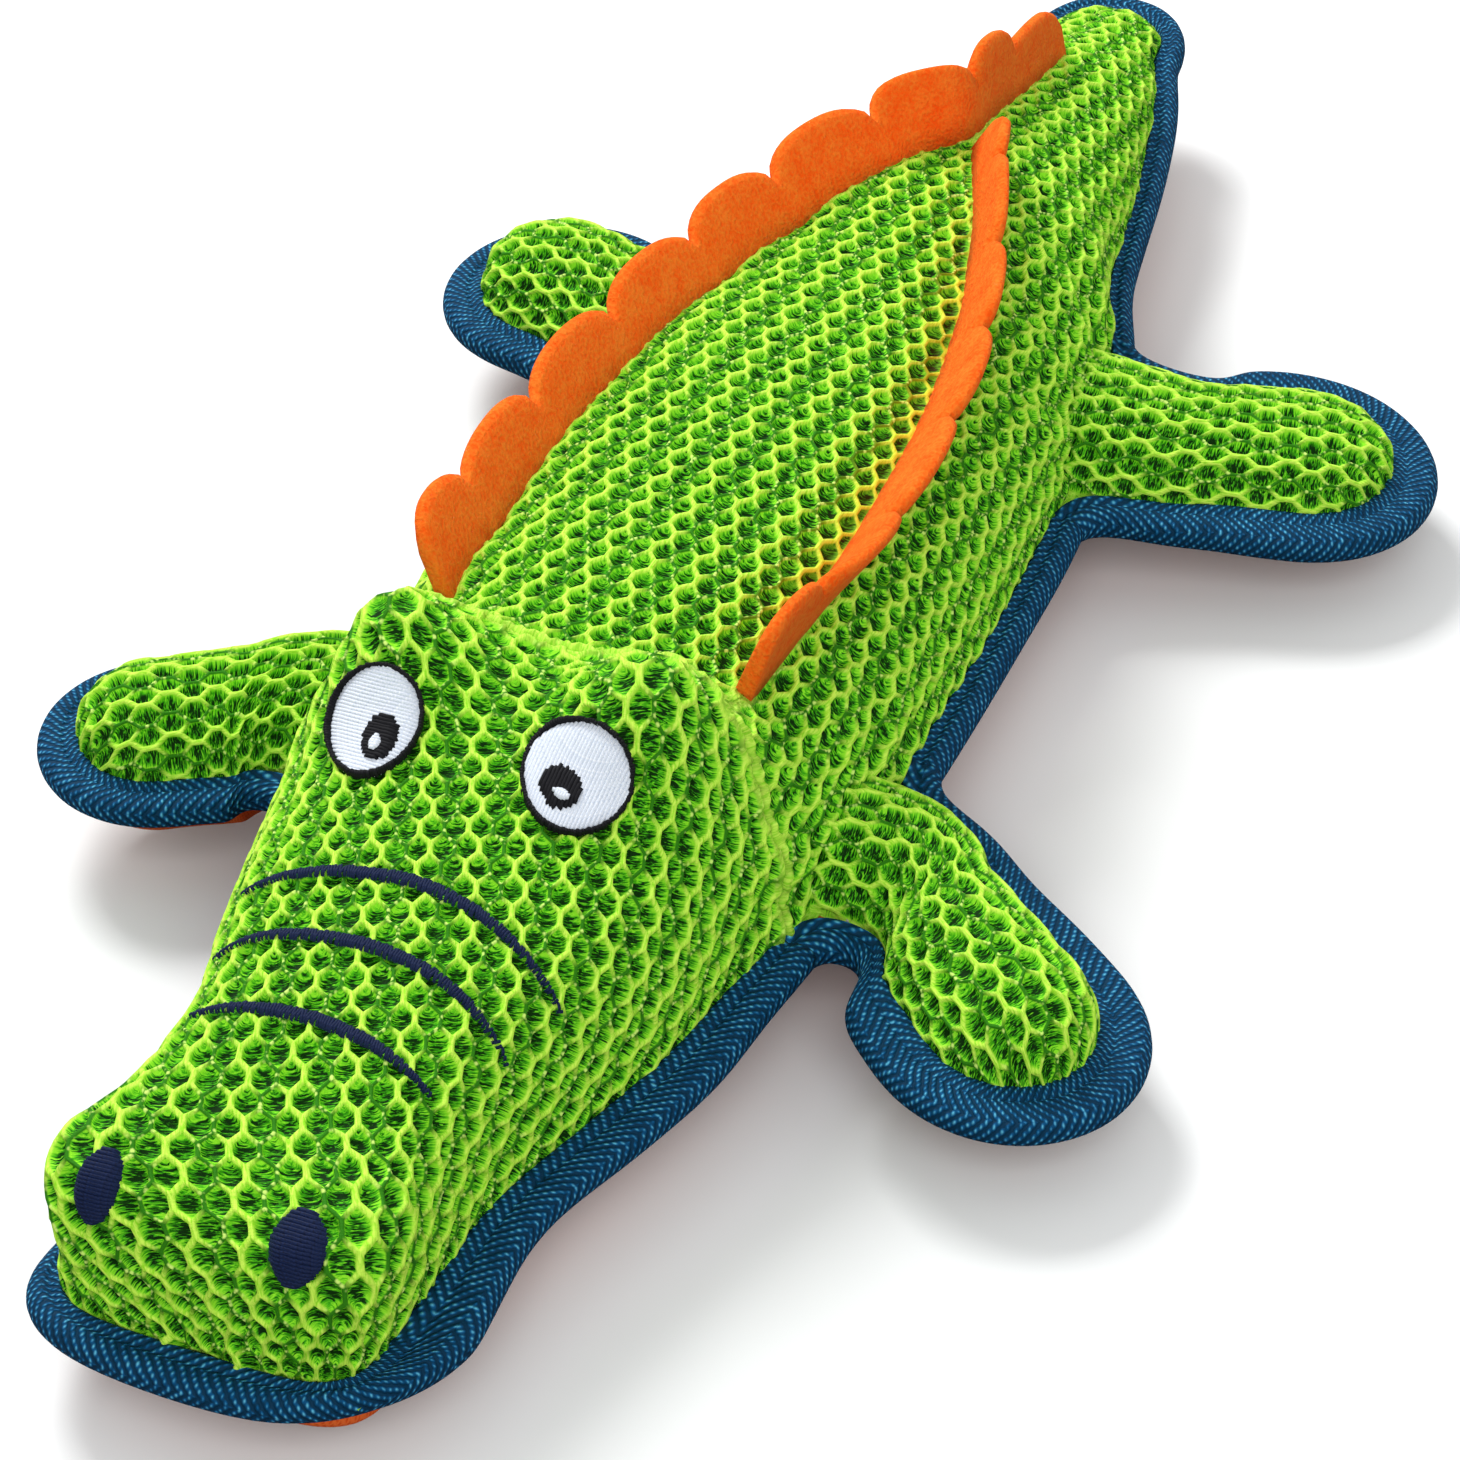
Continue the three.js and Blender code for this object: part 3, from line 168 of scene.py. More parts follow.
# Matt paper, greyer to all but the camera, so that the orange cloth doesn't tint its own shadow
paper = add_node(tree, "ShaderNodeMix", {0: ray.outputs["Is Camera Ray"]}, data_type="RGBA",
                 in_6=linear("#747474"), in_7=linear("#FAFCFC"))
tree.links.new(paper.outputs[2], shader.inputs["Base Color"])
shader.inputs["Roughness"].default_value = 0.9
shader.inputs["Specular IOR Level"].default_value = 0.1
floor.data.materials.append(floor_paper)
floor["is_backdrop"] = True

# The stuffed body's form: spacer mesh over the back and the head is sewn to a plain belly inside a tape,
# turned and filled. Sections along the body give it, with a squarish snout and mounds behind the eyes,
# in millimetres of the solids' own frame. Every sheet of cloth further down is laid on it.
MM = 0.001
MIDDLE = (4.665, -1.25)  # of the finished toy, in that frame
GAP = 0.3  # between back and belly cloth at the seam
BULGE = 1.6  # of the cloth over the seam
# Place along the body, half-width at the seam, half-width at the tape's fold
PLAN = [
    (-168, 23.5, 33.3), (-146, 24.5, 32), (-127, 30, 38), (-110, 35, 43), (-95, 37.5, 44.5), (-78, 40, 46.5),
    (-40, 42.5, 48), (0, 43, 48), (38, 41, 46.5), (88, 32.4, 37.2), (103, 27, 31.3), (118, 24.2, 28.4),
    (140, 20.2, 24.8), (160, 15.4, 20.2), (172, 11.2, 15.6),
]
# Place, height of the seam, of the back and of the belly, squareness of the section
SIDE = [
    (-190, 15, 44, 4, 3.8), (-168, 15.5, 46, 2.5, 3.6), (-150, 16.5, 49.5, 0.5, 3.2),
    (-120, 17.5, 53, -0.5, 2.7), (-95, 18, 56, -0.5, 2.5), (-57, 18, 55.5, -0.5, 2.2),
    (0, 18, 55.5, -0.5, 2.2), (40, 18, 53, -0.5, 2.2), (80, 18, 50.5, -0.5, 2.2),
    (105, 18.5, 47.5, 0, 2.2), (130, 19.5, 42, 2.5, 2.2), (150, 21, 37.5, 6, 2.2),
    (172, 23, 32, 12, 2.2), (194, 24, 29, 18, 2.2),
]
# The two blunt ends: places of the seam, the tape's fold, the shoulder and the face, how square the face
# and the seam are, and how round and how loose the tape lies there
SNOUT = {
    "seam": -186.5, "fold": -194.5, "shoulder": -168, "face": -188,
    "square": 0.5, "corner": 0.42, "round": 0.62, "loose": 0.45,
}
TAIL = {
    "seam": 184, "fold": 192, "shoulder": 172, "face": 185,
    "square": 0.75, "corner": 0.75, "round": 0.92, "loose": 0,
}
HEAD_SEAM = (-80, -71)  # at the sides and over the middle
SWING = 1.6  # of the snout toward the toy's right
# Mounds: place, how far up, ahead and aside (left, right) they push, spread across, ahead and behind
MOUNDS = [
    (20, -82, 16, 0, (2, 2.5), 13, 12, 12),
    (16, -178, 2.5, 2.5, (5.5, 6.0), 11, 14, 12),
]


def through(rows, column, at):
    """The smooth curve through a table's rows, as the solids have it."""
    if at <= rows[0][0]:
        return rows[0][column]
    last = len(rows) - 1
    if at >= rows[last][0]:
        return rows[last][column]
    i = next(k for k, row in enumerate(rows) if row[0] > at) - 1

    def slope(k):
        a, b = rows[max(k - 1, 0)], rows[min(k + 1, last)]
        return (b[column] - a[column]) / (b[0] - a[0])

    span = rows[i + 1][0] - rows[i][0]
    t = (at - rows[i][0]) / span
    h0, h1 = (1 + 2 * t) * (1 - t) ** 2, t * (1 - t) ** 2
    h2, h3 = t * t * (3 - 2 * t), t * t * (t - 1)
    return (h0 * rows[i][column] + h1 * span * slope(i)
            + h2 * rows[i + 1][column] + h3 * span * slope(i + 1))


def smooth(x, low, high):
    t = np.clip((np.asarray(x, float) - low) / (high - low), 0, 1)
    return t * t * (3 - 2 * t)


def to_row(points):
    """Millimetres of the pattern to metres of the finished toy: the snout swings a little to its right."""
    p = np.array(points, float)
    p[..., 0] -= SWING * smooth(-p[..., 1], 125, 185) + MIDDLE[0]
    p[..., 1] -= MIDDLE[1]
    return p * MM


def body_row(seam_y, middle_y, half, flat, fill=1.0):
    at = min(max((seam_y + middle_y) / 2, SIDE[0][0]), SIDE[-1][0])
    seam = through(SIDE, 1, at)
    return {
        "seam_y": seam_y, "middle_y": middle_y, "half": half, "flat": flat, "seam": seam,
        "up": (through(SIDE, 2, at) - seam) * fill, "down": (seam - through(SIDE, 3, at)) * fill,
        "curve": 2 / through(SIDE, 4, at),
    }


def end_rows(end, turns):
    """Rows round a blunt end, from the seam in front to the shoulder."""
    half, fold = through(PLAN, 1, end["shoulder"]), through(PLAN, 2, end["shoulder"])
    rows = []
    for turn in turns:
        share, behind = math.sin(turn) ** end["corner"], 1 - math.cos(turn) ** end["corner"]
        seam_y = end["seam"] + (end["shoulder"] - end["seam"]) * behind
        back = (1 - math.cos(turn)) ** (0.7 / end["square"])
        middle_y = end["face"] + (end["shoulder"] - end["face"]) * back
        first = math.exp(-((turn / math.radians(9)) ** 2))
        middle_y += (end["seam"] - middle_y) * first
        flat = (fold * share, end["fold"] + (end["shoulder"] - end["fold"]) * behind)
        fill = max(math.sin(turn) ** end["square"], 0.05)
        rows.append(body_row(seam_y, middle_y, half * share, flat, fill))
    return rows


def straight_rows(stations):
    rows = []
    for y in stations:
        lean = (HEAD_SEAM[1] - HEAD_SEAM[0]) * math.exp(-(((y - HEAD_SEAM[0]) / 24) ** 2))
        rows.append(body_row(y, y + lean, through(PLAN, 1, y), (through(PLAN, 2, y), y)))
    return rows


def bulge(x, y):
    """How far the stuffing pushes the cloth out at the mounds."""
    push = np.zeros(x.shape + (3,))
    for mx, my, up, ahead, aside, across, front, behind in MOUNDS:
        for side, out in ((1, aside[0]), (-1, aside[1])):
            a = (x - side * mx) / across
            b = (y - my) / np.where(y < my, front, behind)
            push += np.exp(-a * a - b * b)[..., None] * np.array([side * out, -ahead, up])
    return push


def fill_corner(points):
    """The stuffing fills the snout's lower corner on the toy's right, out over the tape."""
    x, y, z = points[..., 0], points[..., 1], points[..., 2]
    share = np.exp(-(((y + 178) / 15) ** 2)) * smooth(-x, 6, 21) * (1 - smooth(z, 15, 33))
    return points + share[..., None] * np.array([-3.2, -1.2, 0])


def over(row, e, mounds=True):
    """Points over the back at angles e, 0 on the toy's left seam and pi on its right one."""
    cos, sin = np.cos(e), np.sin(e)
    swell = BULGE * np.sin(2 * np.minimum(e, math.pi - e)) * min(max(row["up"] / 30, 0), 1)
    x = np.sign(cos) * (row["half"] * np.abs(cos) ** row["curve"] + swell)
    y = row["seam_y"] + (row["middle_y"] - row["seam_y"]) * sin ** 1.5
    z = row["seam"] + GAP / 2 + (row["up"] - GAP / 2) * np.abs(sin) ** row["curve"]
    if not mounds:
        return np.stack([x, y, z], -1)
    push = bulge(x, y) * (np.clip(2 * sin, 0, 1) * min(max(row["up"] / 25, 0), 1))[:, None]
    return fill_corner(np.stack([x, y, z], -1)) + push


class Cloth:
    """A sheet of cloth on its form: s runs along the toy or leg and t across it, in millimetres."""

    STEP = 0.5
    TUCK = 5.0  # cloth beyond each seam, inside the tape

    def __init__(self, lines, outs, plain=None, folds=None):
        lines = np.array(lines)
        plain = lines if plain is None else np.array(plain)
        middle = lines.shape[1] // 2
        steps = np.linalg.norm(np.diff(lines[:, middle], axis=0), axis=1)
        self.s = np.concatenate([[0], np.cumsum(steps)])
        across = np.linalg.norm(np.diff(plain, axis=1), axis=2)
        arc = np.concatenate([np.zeros((len(lines), 1)), np.cumsum(across, axis=1)], axis=1)
        arc = arc[:, middle:middle + 1] - arc
        self.left, self.right = arc[:, 0], arc[:, -1]
        reach = max(self.left.max(), -self.right.min()) + self.TUCK
        self.t = np.arange(-reach, reach + self.STEP, self.STEP)
        grid = np.empty((len(lines), len(self.t), 3))
        for i, line in enumerate(lines):
            for c in range(3):
                grid[i, :, c] = np.interp(self.t, arc[i, ::-1], line[::-1, c])
            for edge, out, beyond in (
                (self.left[i], outs[i][0], self.t - self.left[i]),
                (self.right[i], outs[i][1], self.right[i] - self.t),
            ):
                grid[i] += np.clip(beyond, 0, self.TUCK)[:, None] * np.array(out)
        self.grid = to_row(grid)
        self._find_normals(len(lines) // 2)
        if folds is not None:
            s, t = np.meshgrid(self.s, self.t, indexing="ij")
            self.grid = self.grid + self.normal * (folds(self, grid, s, t) * MM)[..., None]
            self._find_normals(len(lines) // 2)

    def _find_normals(self, row):
        normal = np.cross(np.gradient(self.grid, axis=0), np.gradient(self.grid, axis=1))
        self.normal = normal / np.maximum(np.linalg.norm(normal, axis=2, keepdims=True), 1e-12)
        self.turned = bool(self.normal[row, len(self.t) // 2, 2] > 0)
        if not self.turned:
            self.normal = -self.normal

    def _at(self, table, s, t):
        i = np.clip(np.interp(s, self.s, np.arange(len(self.s))), 0, len(self.s) - 1.001)
        k = np.clip((t - self.t[0]) / self.STEP, 0, len(self.t) - 1.001)
        i0, k0 = i.astype(int), k.astype(int)
        a, b = (i - i0)[:, None], (k - k0)[:, None]
        return ((table[i0, k0] * (1 - a) + table[i0 + 1, k0] * a) * (1 - b)
                + (table[i0, k0 + 1] * (1 - a) + table[i0 + 1, k0 + 1] * a) * b)

    def lay(self, s, t, height):
        """Places of the cloth at s, t, raised over its form by height, in metres."""
        n = self._at(self.normal, s, t)
        n /= np.maximum(np.linalg.norm(n, axis=1, keepdims=True), 1e-9)
        return self._at(self.grid, s, t) + n * (height * MM)[:, None]

    def edge(self, s):
        """Arc length from the middle to the left and right seam at s."""
        return np.interp(s, self.s, self.left), np.interp(s, self.s, self.right)


ANGLES = np.linspace(0, math.pi, 241)
snout_rows = end_rows(SNOUT, np.radians(np.append([0.02, 0.12], np.linspace(0.4, 90, 30))))
head_rows = straight_rows(np.linspace(SNOUT["shoulder"], HEAD_SEAM[0], 46))[1:]
torso_rows = straight_rows(np.linspace(HEAD_SEAM[0], TAIL["shoulder"], 127))[1:]
tail_rows = end_rows(TAIL, np.radians(np.append([0.02, 0.12], np.linspace(0.4, 90, 22))))[::-1][1:]
body_rows = snout_rows + head_rows + torso_rows + tail_rows
outs = []
for row in body_rows:
    out = np.array([row["flat"][0] - row["half"], row["flat"][1] - row["seam_y"], 0.0])
    out /= max(np.linalg.norm(out), 1e-6)
    outs.append((out, out * [-1, 1, 1]))
HEAD_ROW = len(snout_rows) + len(head_rows) - 1
LEG_ROOTS = ((43, -57), (-43, -57), (37, 62), (-37, 62))


def body_folds(cloth, places, s, t):
    """Gathers where the cloth is sewn down: short folds in from the tape, and rays round each leg's root."""
    left, right = cloth.edge(s)
    inward = np.clip(np.minimum(left - t, t - right), 0, None)
    end = np.clip(np.minimum(s, cloth.s[-1] - s) / 20, 0, 1)
    sway = 1.7 * np.sin(s / 23 + np.sign(t)) + np.sin(s / 11 + 2)
    folds = 0.3 * end * np.exp(-inward / 5) * np.sin(s * 2 * math.pi / 8.6 + sway)
    for x, y in LEG_ROOTS:
        away = np.hypot(places[..., 0] - x, (places[..., 1] - y) * 0.8)
        turn = np.arctan2(places[..., 2] - 18, (places[..., 1] - y) * 0.8)
        folds += 0.75 * np.exp(-((away - 15) / 9) ** 2) * np.sin(11 * turn + 0.4 * np.sin(3 * turn + x))
    folds += 0.35 * np.sin(s / 9.5 + 1.3 * np.sin(t / 13)) * np.sin(t / 8.5 + 1.1 * np.sin(s / 17))
    return folds


body_cloth = Cloth([over(row, ANGLES) for row in body_rows], outs,
                   [over(row, ANGLES, mounds=False) for row in body_rows], body_folds)
head_end = float(body_cloth.s[HEAD_ROW])


# Head cover: spacer mesh, knitted polyester with hexagonal holes, sewn to the back behind the eyes.
# Every second wale is a thick bright lime yarn; those between are thin twisted chains of cream and green.
# Matt yarn catches the light on its crests, and the holes' walls are painted with shade, darker green towards
# their floors.
air_mesh, tree, shader = new_material("knitted spacer mesh, lime polyester")
strand = add_node(tree, "ShaderNodeAttribute", attribute_name="strand")
depth = add_node(tree, "ShaderNodeAttribute", attribute_name="depth")
place = add_node(tree, "ShaderNodeUVMap", uv_map="cloth_mm")
# Filaments of the yarn, about 0.1 mm, drawn at 0.25 mm so that they show
fibres = add_node(tree, "ShaderNodeMapping", {0: place.outputs[0]}, in_Scale=(0.7, 3.4, 1.0),
                  in_Rotation=(0, 0, 0.5))
fibre = add_node(tree, "ShaderNodeTexNoise", {0: fibres.outputs[0]}, in_Scale=1.0, in_Detail=4.0,
                 in_Distortion=0.6)
yarn = add_node(tree, "ShaderNodeValToRGB", {0: fibre.outputs[0]}, [(0.34, "#96E228"), (0.6, "#D6FF5E")])
# The thin chain is a two-ply twist: one turn in about 0.9 mm, cream on green
turns = add_node(tree, "ShaderNodeMapping", {0: place.outputs[0]}, in_Scale=(1.1, 1.1, 1.0),
                 in_Rotation=(0, 0, -0.4))
twists = add_node(tree, "ShaderNodeTexVoronoi", {0: turns.outputs[0]}, in_Scale=1.0)
chain = add_node(tree, "ShaderNodeValToRGB", {0: twists.outputs["Distance"]},
                 [(0.22, "#D2F47A"), (0.46, "#2F7A10")])
top = add_node(tree, "ShaderNodeMix", {0: strand.outputs["Fac"], 6: chain.outputs[0], 7: yarn.outputs[0]},
               data_type="RGBA")
# Walls of the holes: loops of fibre, green, with painted shade that turns them nearly black at the bottom
loops = add_node(tree, "ShaderNodeMapping", {0: place.outputs[0]}, in_Scale=(2.9, 0.55, 1.0),
                 in_Rotation=(0, 0, 0.35))
loop = add_node(tree, "ShaderNodeTexNoise", {0: loops.outputs[0]}, in_Scale=1.0, in_Detail=3.0,
                in_Distortion=1.2)
spread = add_node(tree, "ShaderNodeMath", {0: loop.outputs[0]}, operation="MULTIPLY_ADD", in_1=2.6, in_2=-1.3)
hole_shade = add_node(tree, "ShaderNodeMath", {0: depth.outputs["Fac"], 2: spread.outputs[0]},
                operation="MULTIPLY_ADD", in_1=0.86)
hole = add_node(tree, "ShaderNodeValToRGB", {0: hole_shade.outputs[0]},
                [(0.2, "#9CF030"), (0.55, "#46B414"), (0.82, "#082C03")])
deep = add_node(tree, "ShaderNodeMapRange", {0: depth.outputs["Fac"]}, in_1=0.18, in_2=0.36)
cloth = add_node(tree, "ShaderNodeMix", {0: deep.outputs[0], 6: top.outputs[2], 7: hole.outputs[0]},
                 data_type="RGBA")
# Painted orange bounce light from the felt, on the cloth beside the left ridge: yellow on the crests, dark
# brown in the holes
lint = add_node(tree, "ShaderNodeAttribute", attribute_name="lint")
bounce_tone = add_node(tree, "ShaderNodeMix", {0: deep.outputs[0]}, data_type="RGBA", in_6=linear("#F0C824"),
                 in_7=linear("#4A2402"))
with_felt_bounce = add_node(tree, "ShaderNodeMix", {0: lint.outputs["Fac"], 6: cloth.outputs[2], 7: bounce_tone.outputs[2]},
                  data_type="RGBA")
tree.links.new(with_felt_bounce.outputs[2], shader.inputs["Base Color"])
shader.inputs["Roughness"].default_value = 0.7
shader.inputs["Specular IOR Level"].default_value = 0.1
both = add_node(tree, "ShaderNodeMath", {0: fibre.outputs[0], 1: loop.outputs[0]}, operation="ADD")
bump = add_node(tree, "ShaderNodeBump", {"Height": both.outputs[0]}, in_Strength=0.6, in_Distance=0.0002)
tree.links.new(bump.outputs[0], shader.inputs["Normal"])


def piece_of(name, vertices, faces, material):
    """A new piece made of the given mesh, with its finish."""
    mesh = bpy.data.meshes.new(name)
    mesh.from_pydata([tuple(v) for v in vertices], [], [tuple(int(i) for i in f) for f in faces])
    mesh.update()
    piece = bpy.data.objects.new(name, mesh)
    bpy.context.collection.objects.link(piece)
    mesh.materials.append(material)
    mesh.polygons.foreach_set("use_smooth", [True] * len(mesh.polygons))
    return piece


def write_uv(piece, coordinates):
    """A UV map from one pair for each vertex, in millimetres of the cloth."""
    mesh = piece.data
    layer = mesh.uv_layers[0] if mesh.uv_layers else mesh.uv_layers.new(name="cloth_mm")
    layer.name = "cloth_mm"
    corner = np.empty(len(mesh.loops), int)
    mesh.loops.foreach_get("vertex_index", corner)
    layer.data.foreach_set("uv", np.asarray(coordinates, float)[corner].ravel())


WALE, APEX = 2.2, 1.7  # straight side of a hole, and the rise of each slanted pair
HOLE_PITCH = 3.7  # between wales
# Strands between the holes: half-width, height of the crest and share of bright yarn
THICK, THIN, SLANT = 0, 1, 2
STRANDS = ((0.48, 0.22, 1.0), (0.31, -0.18, 0.0), (0.36, 0.02, 0.75))
# A hole has five rings of points and one in its floor; the depths set where the yarn's colour gives way to
# the walls', and how far painted shade darkens the rings from rim to floor
RIM_POINTS = 12
HOLE_POINTS = 5 * RIM_POINTS + 1
WALL_DEPTHS = (0.0, 0.08, 0.3, 0.62, 0.9)
FLOOR_HEIGHT = -1.6


def hole_kinds(across, wale):
    """The four kinds of hole in the knit: points, heights, depth and yarn of each."""
    half, tip = wale / 2, wale / 2 + APEX
    corners = np.array([
        (-half, across / 2), (half, across / 2), (tip, 0),
        (half, -across / 2), (-half, -across / 2), (-tip, 0),
    ])
    rims = np.empty((RIM_POINTS, 2))
    rims[0::2] = corners
    rims[1::2] = (corners + np.roll(corners, -1, axis=0)) / 2
    side = np.roll(corners, -1, axis=0) - corners
    inward = np.stack([side[:, 1], -side[:, 0]], -1)
    inward /= np.linalg.norm(inward, axis=1, keepdims=True)
    inward *= -np.sign((inward * (corners + side / 2)).sum(1))[:, None]
    angle = np.arctan2(rims[:, 1] / across, rims[:, 0] / (wale + APEX))
    oval = np.stack([np.cos(angle) * (wale + APEX) * 0.42, np.sin(angle) * across * 0.42], -1)
    kinds = {}
    for odd in (0, 1):
        for even_column in (0, 1):
            # Edges: right wale, upper right, upper left, left wale, lower left, lower right
            right, left = (THIN, THICK) if even_column else (THICK, THIN)
            if odd:
                edges = [right, right, SLANT, left, SLANT, right]
            else:
                edges = [right, SLANT, left, left, left, SLANT]
            width, crest, yarns = np.array([STRANDS[k] for k in edges]).T
            step, tops, mixes = np.empty((RIM_POINTS, 2)), np.empty(RIM_POINTS), np.empty(RIM_POINTS)
            for k in range(6):
                before = (k - 1) % 6
                step[2 * k] = 0.667 * (inward[k] * width[k] + inward[before] * width[before])
                step[2 * k + 1] = inward[k] * width[k]
                wale_edge = k if edges[k] != SLANT else before
                tops[2 * k], mixes[2 * k] = crest[wale_edge], yarns[wale_edge]
                tops[2 * k + 1], mixes[2 * k + 1] = crest[k], yarns[k]
            inner = rims + step
            points = [rims, rims + step * 0.62, inner, inner * 0.35 + oval * 0.65 * 0.95, oval * 0.62]
            ring = np.ones(RIM_POINTS)
            heights = [tops, tops - 0.10, tops * 0.6 - 0.42, -1.05 * ring, -1.5 * ring]
            depths = [depth * ring for depth in WALL_DEPTHS]
            kinds[odd, even_column] = (
                np.vstack(points + [[(0, 0)]]), np.concatenate(heights + [[FLOOR_HEIGHT]]),
                np.concatenate(depths + [[1.0]]), np.concatenate([mixes] * 5 + [[0.5]]),
            )
    return kinds


RINGS = []
for ring in range(4):
    for k in range(RIM_POINTS):
        here, there = RIM_POINTS * ring + k, RIM_POINTS * ring + (k + 1) % RIM_POINTS
        RINGS.append((here, there, there + RIM_POINTS, here + RIM_POINTS))
for k in range(4 * RIM_POINTS, 5 * RIM_POINTS):
    beside = k + 1 if k + 1 < 5 * RIM_POINTS else 4 * RIM_POINTS
    RINGS.append((k, beside, HOLE_POINTS - 1, HOLE_POINTS - 1))
RINGS = np.array(RINGS)


PATTERN_COLUMNS = 33
PATTERN_ROUNDS = 60


def crossed(a, b):
    return a[:, 0] * b[:, 1] - a[:, 1] * b[:, 0]


def laid_flat(cloth, last):
    """The flat pattern of the cloth's rows up to the last, as little stretched as can be.

    Returns the function from a place in the flat pattern to s, t on the cloth.
    """
    rows = np.arange(0, last + 1, 2)
    share = np.linspace(-1, 1, PATTERN_COLUMNS)[None]
    s = np.repeat(cloth.s[rows][:, None], PATTERN_COLUMNS, axis=1).ravel()
    left = np.clip(share, 0, 1) * cloth.left[rows][:, None]
    right = np.clip(share, -1, 0) * cloth.right[rows][:, None]
    t = (left - right).ravel()
    solid = cloth.lay(s, t, np.zeros(len(s))) / MM
    index = np.arange(len(s)).reshape(len(rows), PATTERN_COLUMNS)
    a, b = index[:-1, :-1].ravel(), index[1:, :-1].ravel()
    c, d = index[1:, 1:].ravel(), index[:-1, 1:].ravel()
    faces = np.vstack([np.column_stack([a, b, c]), np.column_stack([a, c, d])])

    # Each triangle in a plane of its own, and how strongly each of its sides holds
    one, two = solid[faces[:, 1]] - solid[faces[:, 0]], solid[faces[:, 2]] - solid[faces[:, 0]]
    own = np.zeros((len(faces), 3, 2))
    own[:, 1, 0] = np.linalg.norm(one, axis=1)
    own[:, 2, 0] = (one * two).sum(1) / own[:, 1, 0]
    own[:, 2, 1] = np.sqrt(np.maximum((two * two).sum(1) - own[:, 2, 0] ** 2, 1e-4))
    weights = []
    for k in range(3):
        u, v = own[:, (k + 1) % 3] - own[:, k], own[:, (k + 2) % 3] - own[:, k]
        weights.append(np.clip((u * v).sum(1) / crossed(u, v), 0.05, 8))
    pull = np.zeros((len(s), len(s)))
    sides = []
    for k in range(3):
        i, j, w = faces[:, (k + 1) % 3], faces[:, (k + 2) % 3], weights[k]
        edge = own[:, (k + 1) % 3] - own[:, (k + 2) % 3]
        sides.append((i, j, w, edge))
        for at, value in (((i, i), w), ((j, j), w), ((i, j), -w), ((j, i), -w)):
            np.add.at(pull, at, value)
    solve = np.linalg.inv(pull + 1.0 / len(s))

    # In turns, the triangles are turned to suit the pattern, and the pattern is moved to suit them
    goal = np.column_stack([s, t])
    flat = goal
    for _ in range(PATTERN_ROUNDS):
        cos, sin = np.zeros(len(faces)), np.zeros(len(faces))
        for i, j, w, edge in sides:
            now = flat[i] - flat[j]
            cos += w * (now * edge).sum(1)
            sin += w * crossed(edge, now)
        size = np.hypot(cos, sin) + 1e-12
        cos, sin = cos / size, sin / size
        force = np.zeros_like(flat)
        for i, j, w, edge in sides:
            turned = np.column_stack([
                cos * edge[:, 0] - sin * edge[:, 1], sin * edge[:, 0] + cos * edge[:, 1],
            ])
            np.add.at(force, i, turned * w[:, None])
            np.add.at(force, j, -turned * w[:, None])
        flat = solve @ force

    # The finished pattern is turned as a whole to lie along the cloth
    flat, goal_middle = flat - flat.mean(0), goal.mean(0)
    goal = goal - goal_middle
    cos, sin = (flat * goal).sum(), crossed(flat, goal).sum()
    size = math.hypot(cos, sin)
    flat = flat @ np.array([[cos, sin], [-sin, cos]]) / size + goal_middle
    tree = BVHTree.FromPolygons([(x, y, 0.0) for x, y in flat], faces.tolist())

    def to_cloth(x, y):
        places = zip(x.ravel().tolist(), y.ravel().tolist())
        found = [tree.find_nearest((a, b, 0.0)) for a, b in places]
        face = faces[[f[2] for f in found]]
        at = np.array([f[0][:2] for f in found])
        away = np.array([f[3] for f in found])
        p, q, r = flat[face[:, 0]], flat[face[:, 1]], flat[face[:, 2]]
        area = crossed(q - p, r - p)
        two, three = crossed(at - p, r - p) / area, crossed(q - p, at - p) / area
        mixes = np.column_stack([1 - two - three, two, three])
        new_s, new_t = (s[face] * mixes).sum(1), (t[face] * mixes).sum(1)
        # Past the pattern's edges the cloth runs on straight
        ahead = new_s < 0.3
        new_s = new_s - np.where(ahead, away, 0)
        new_t = new_t + np.sign(new_t) * np.where(ahead, 0, away)
        return new_s.reshape(x.shape), new_t.reshape(x.shape)

    return to_cloth


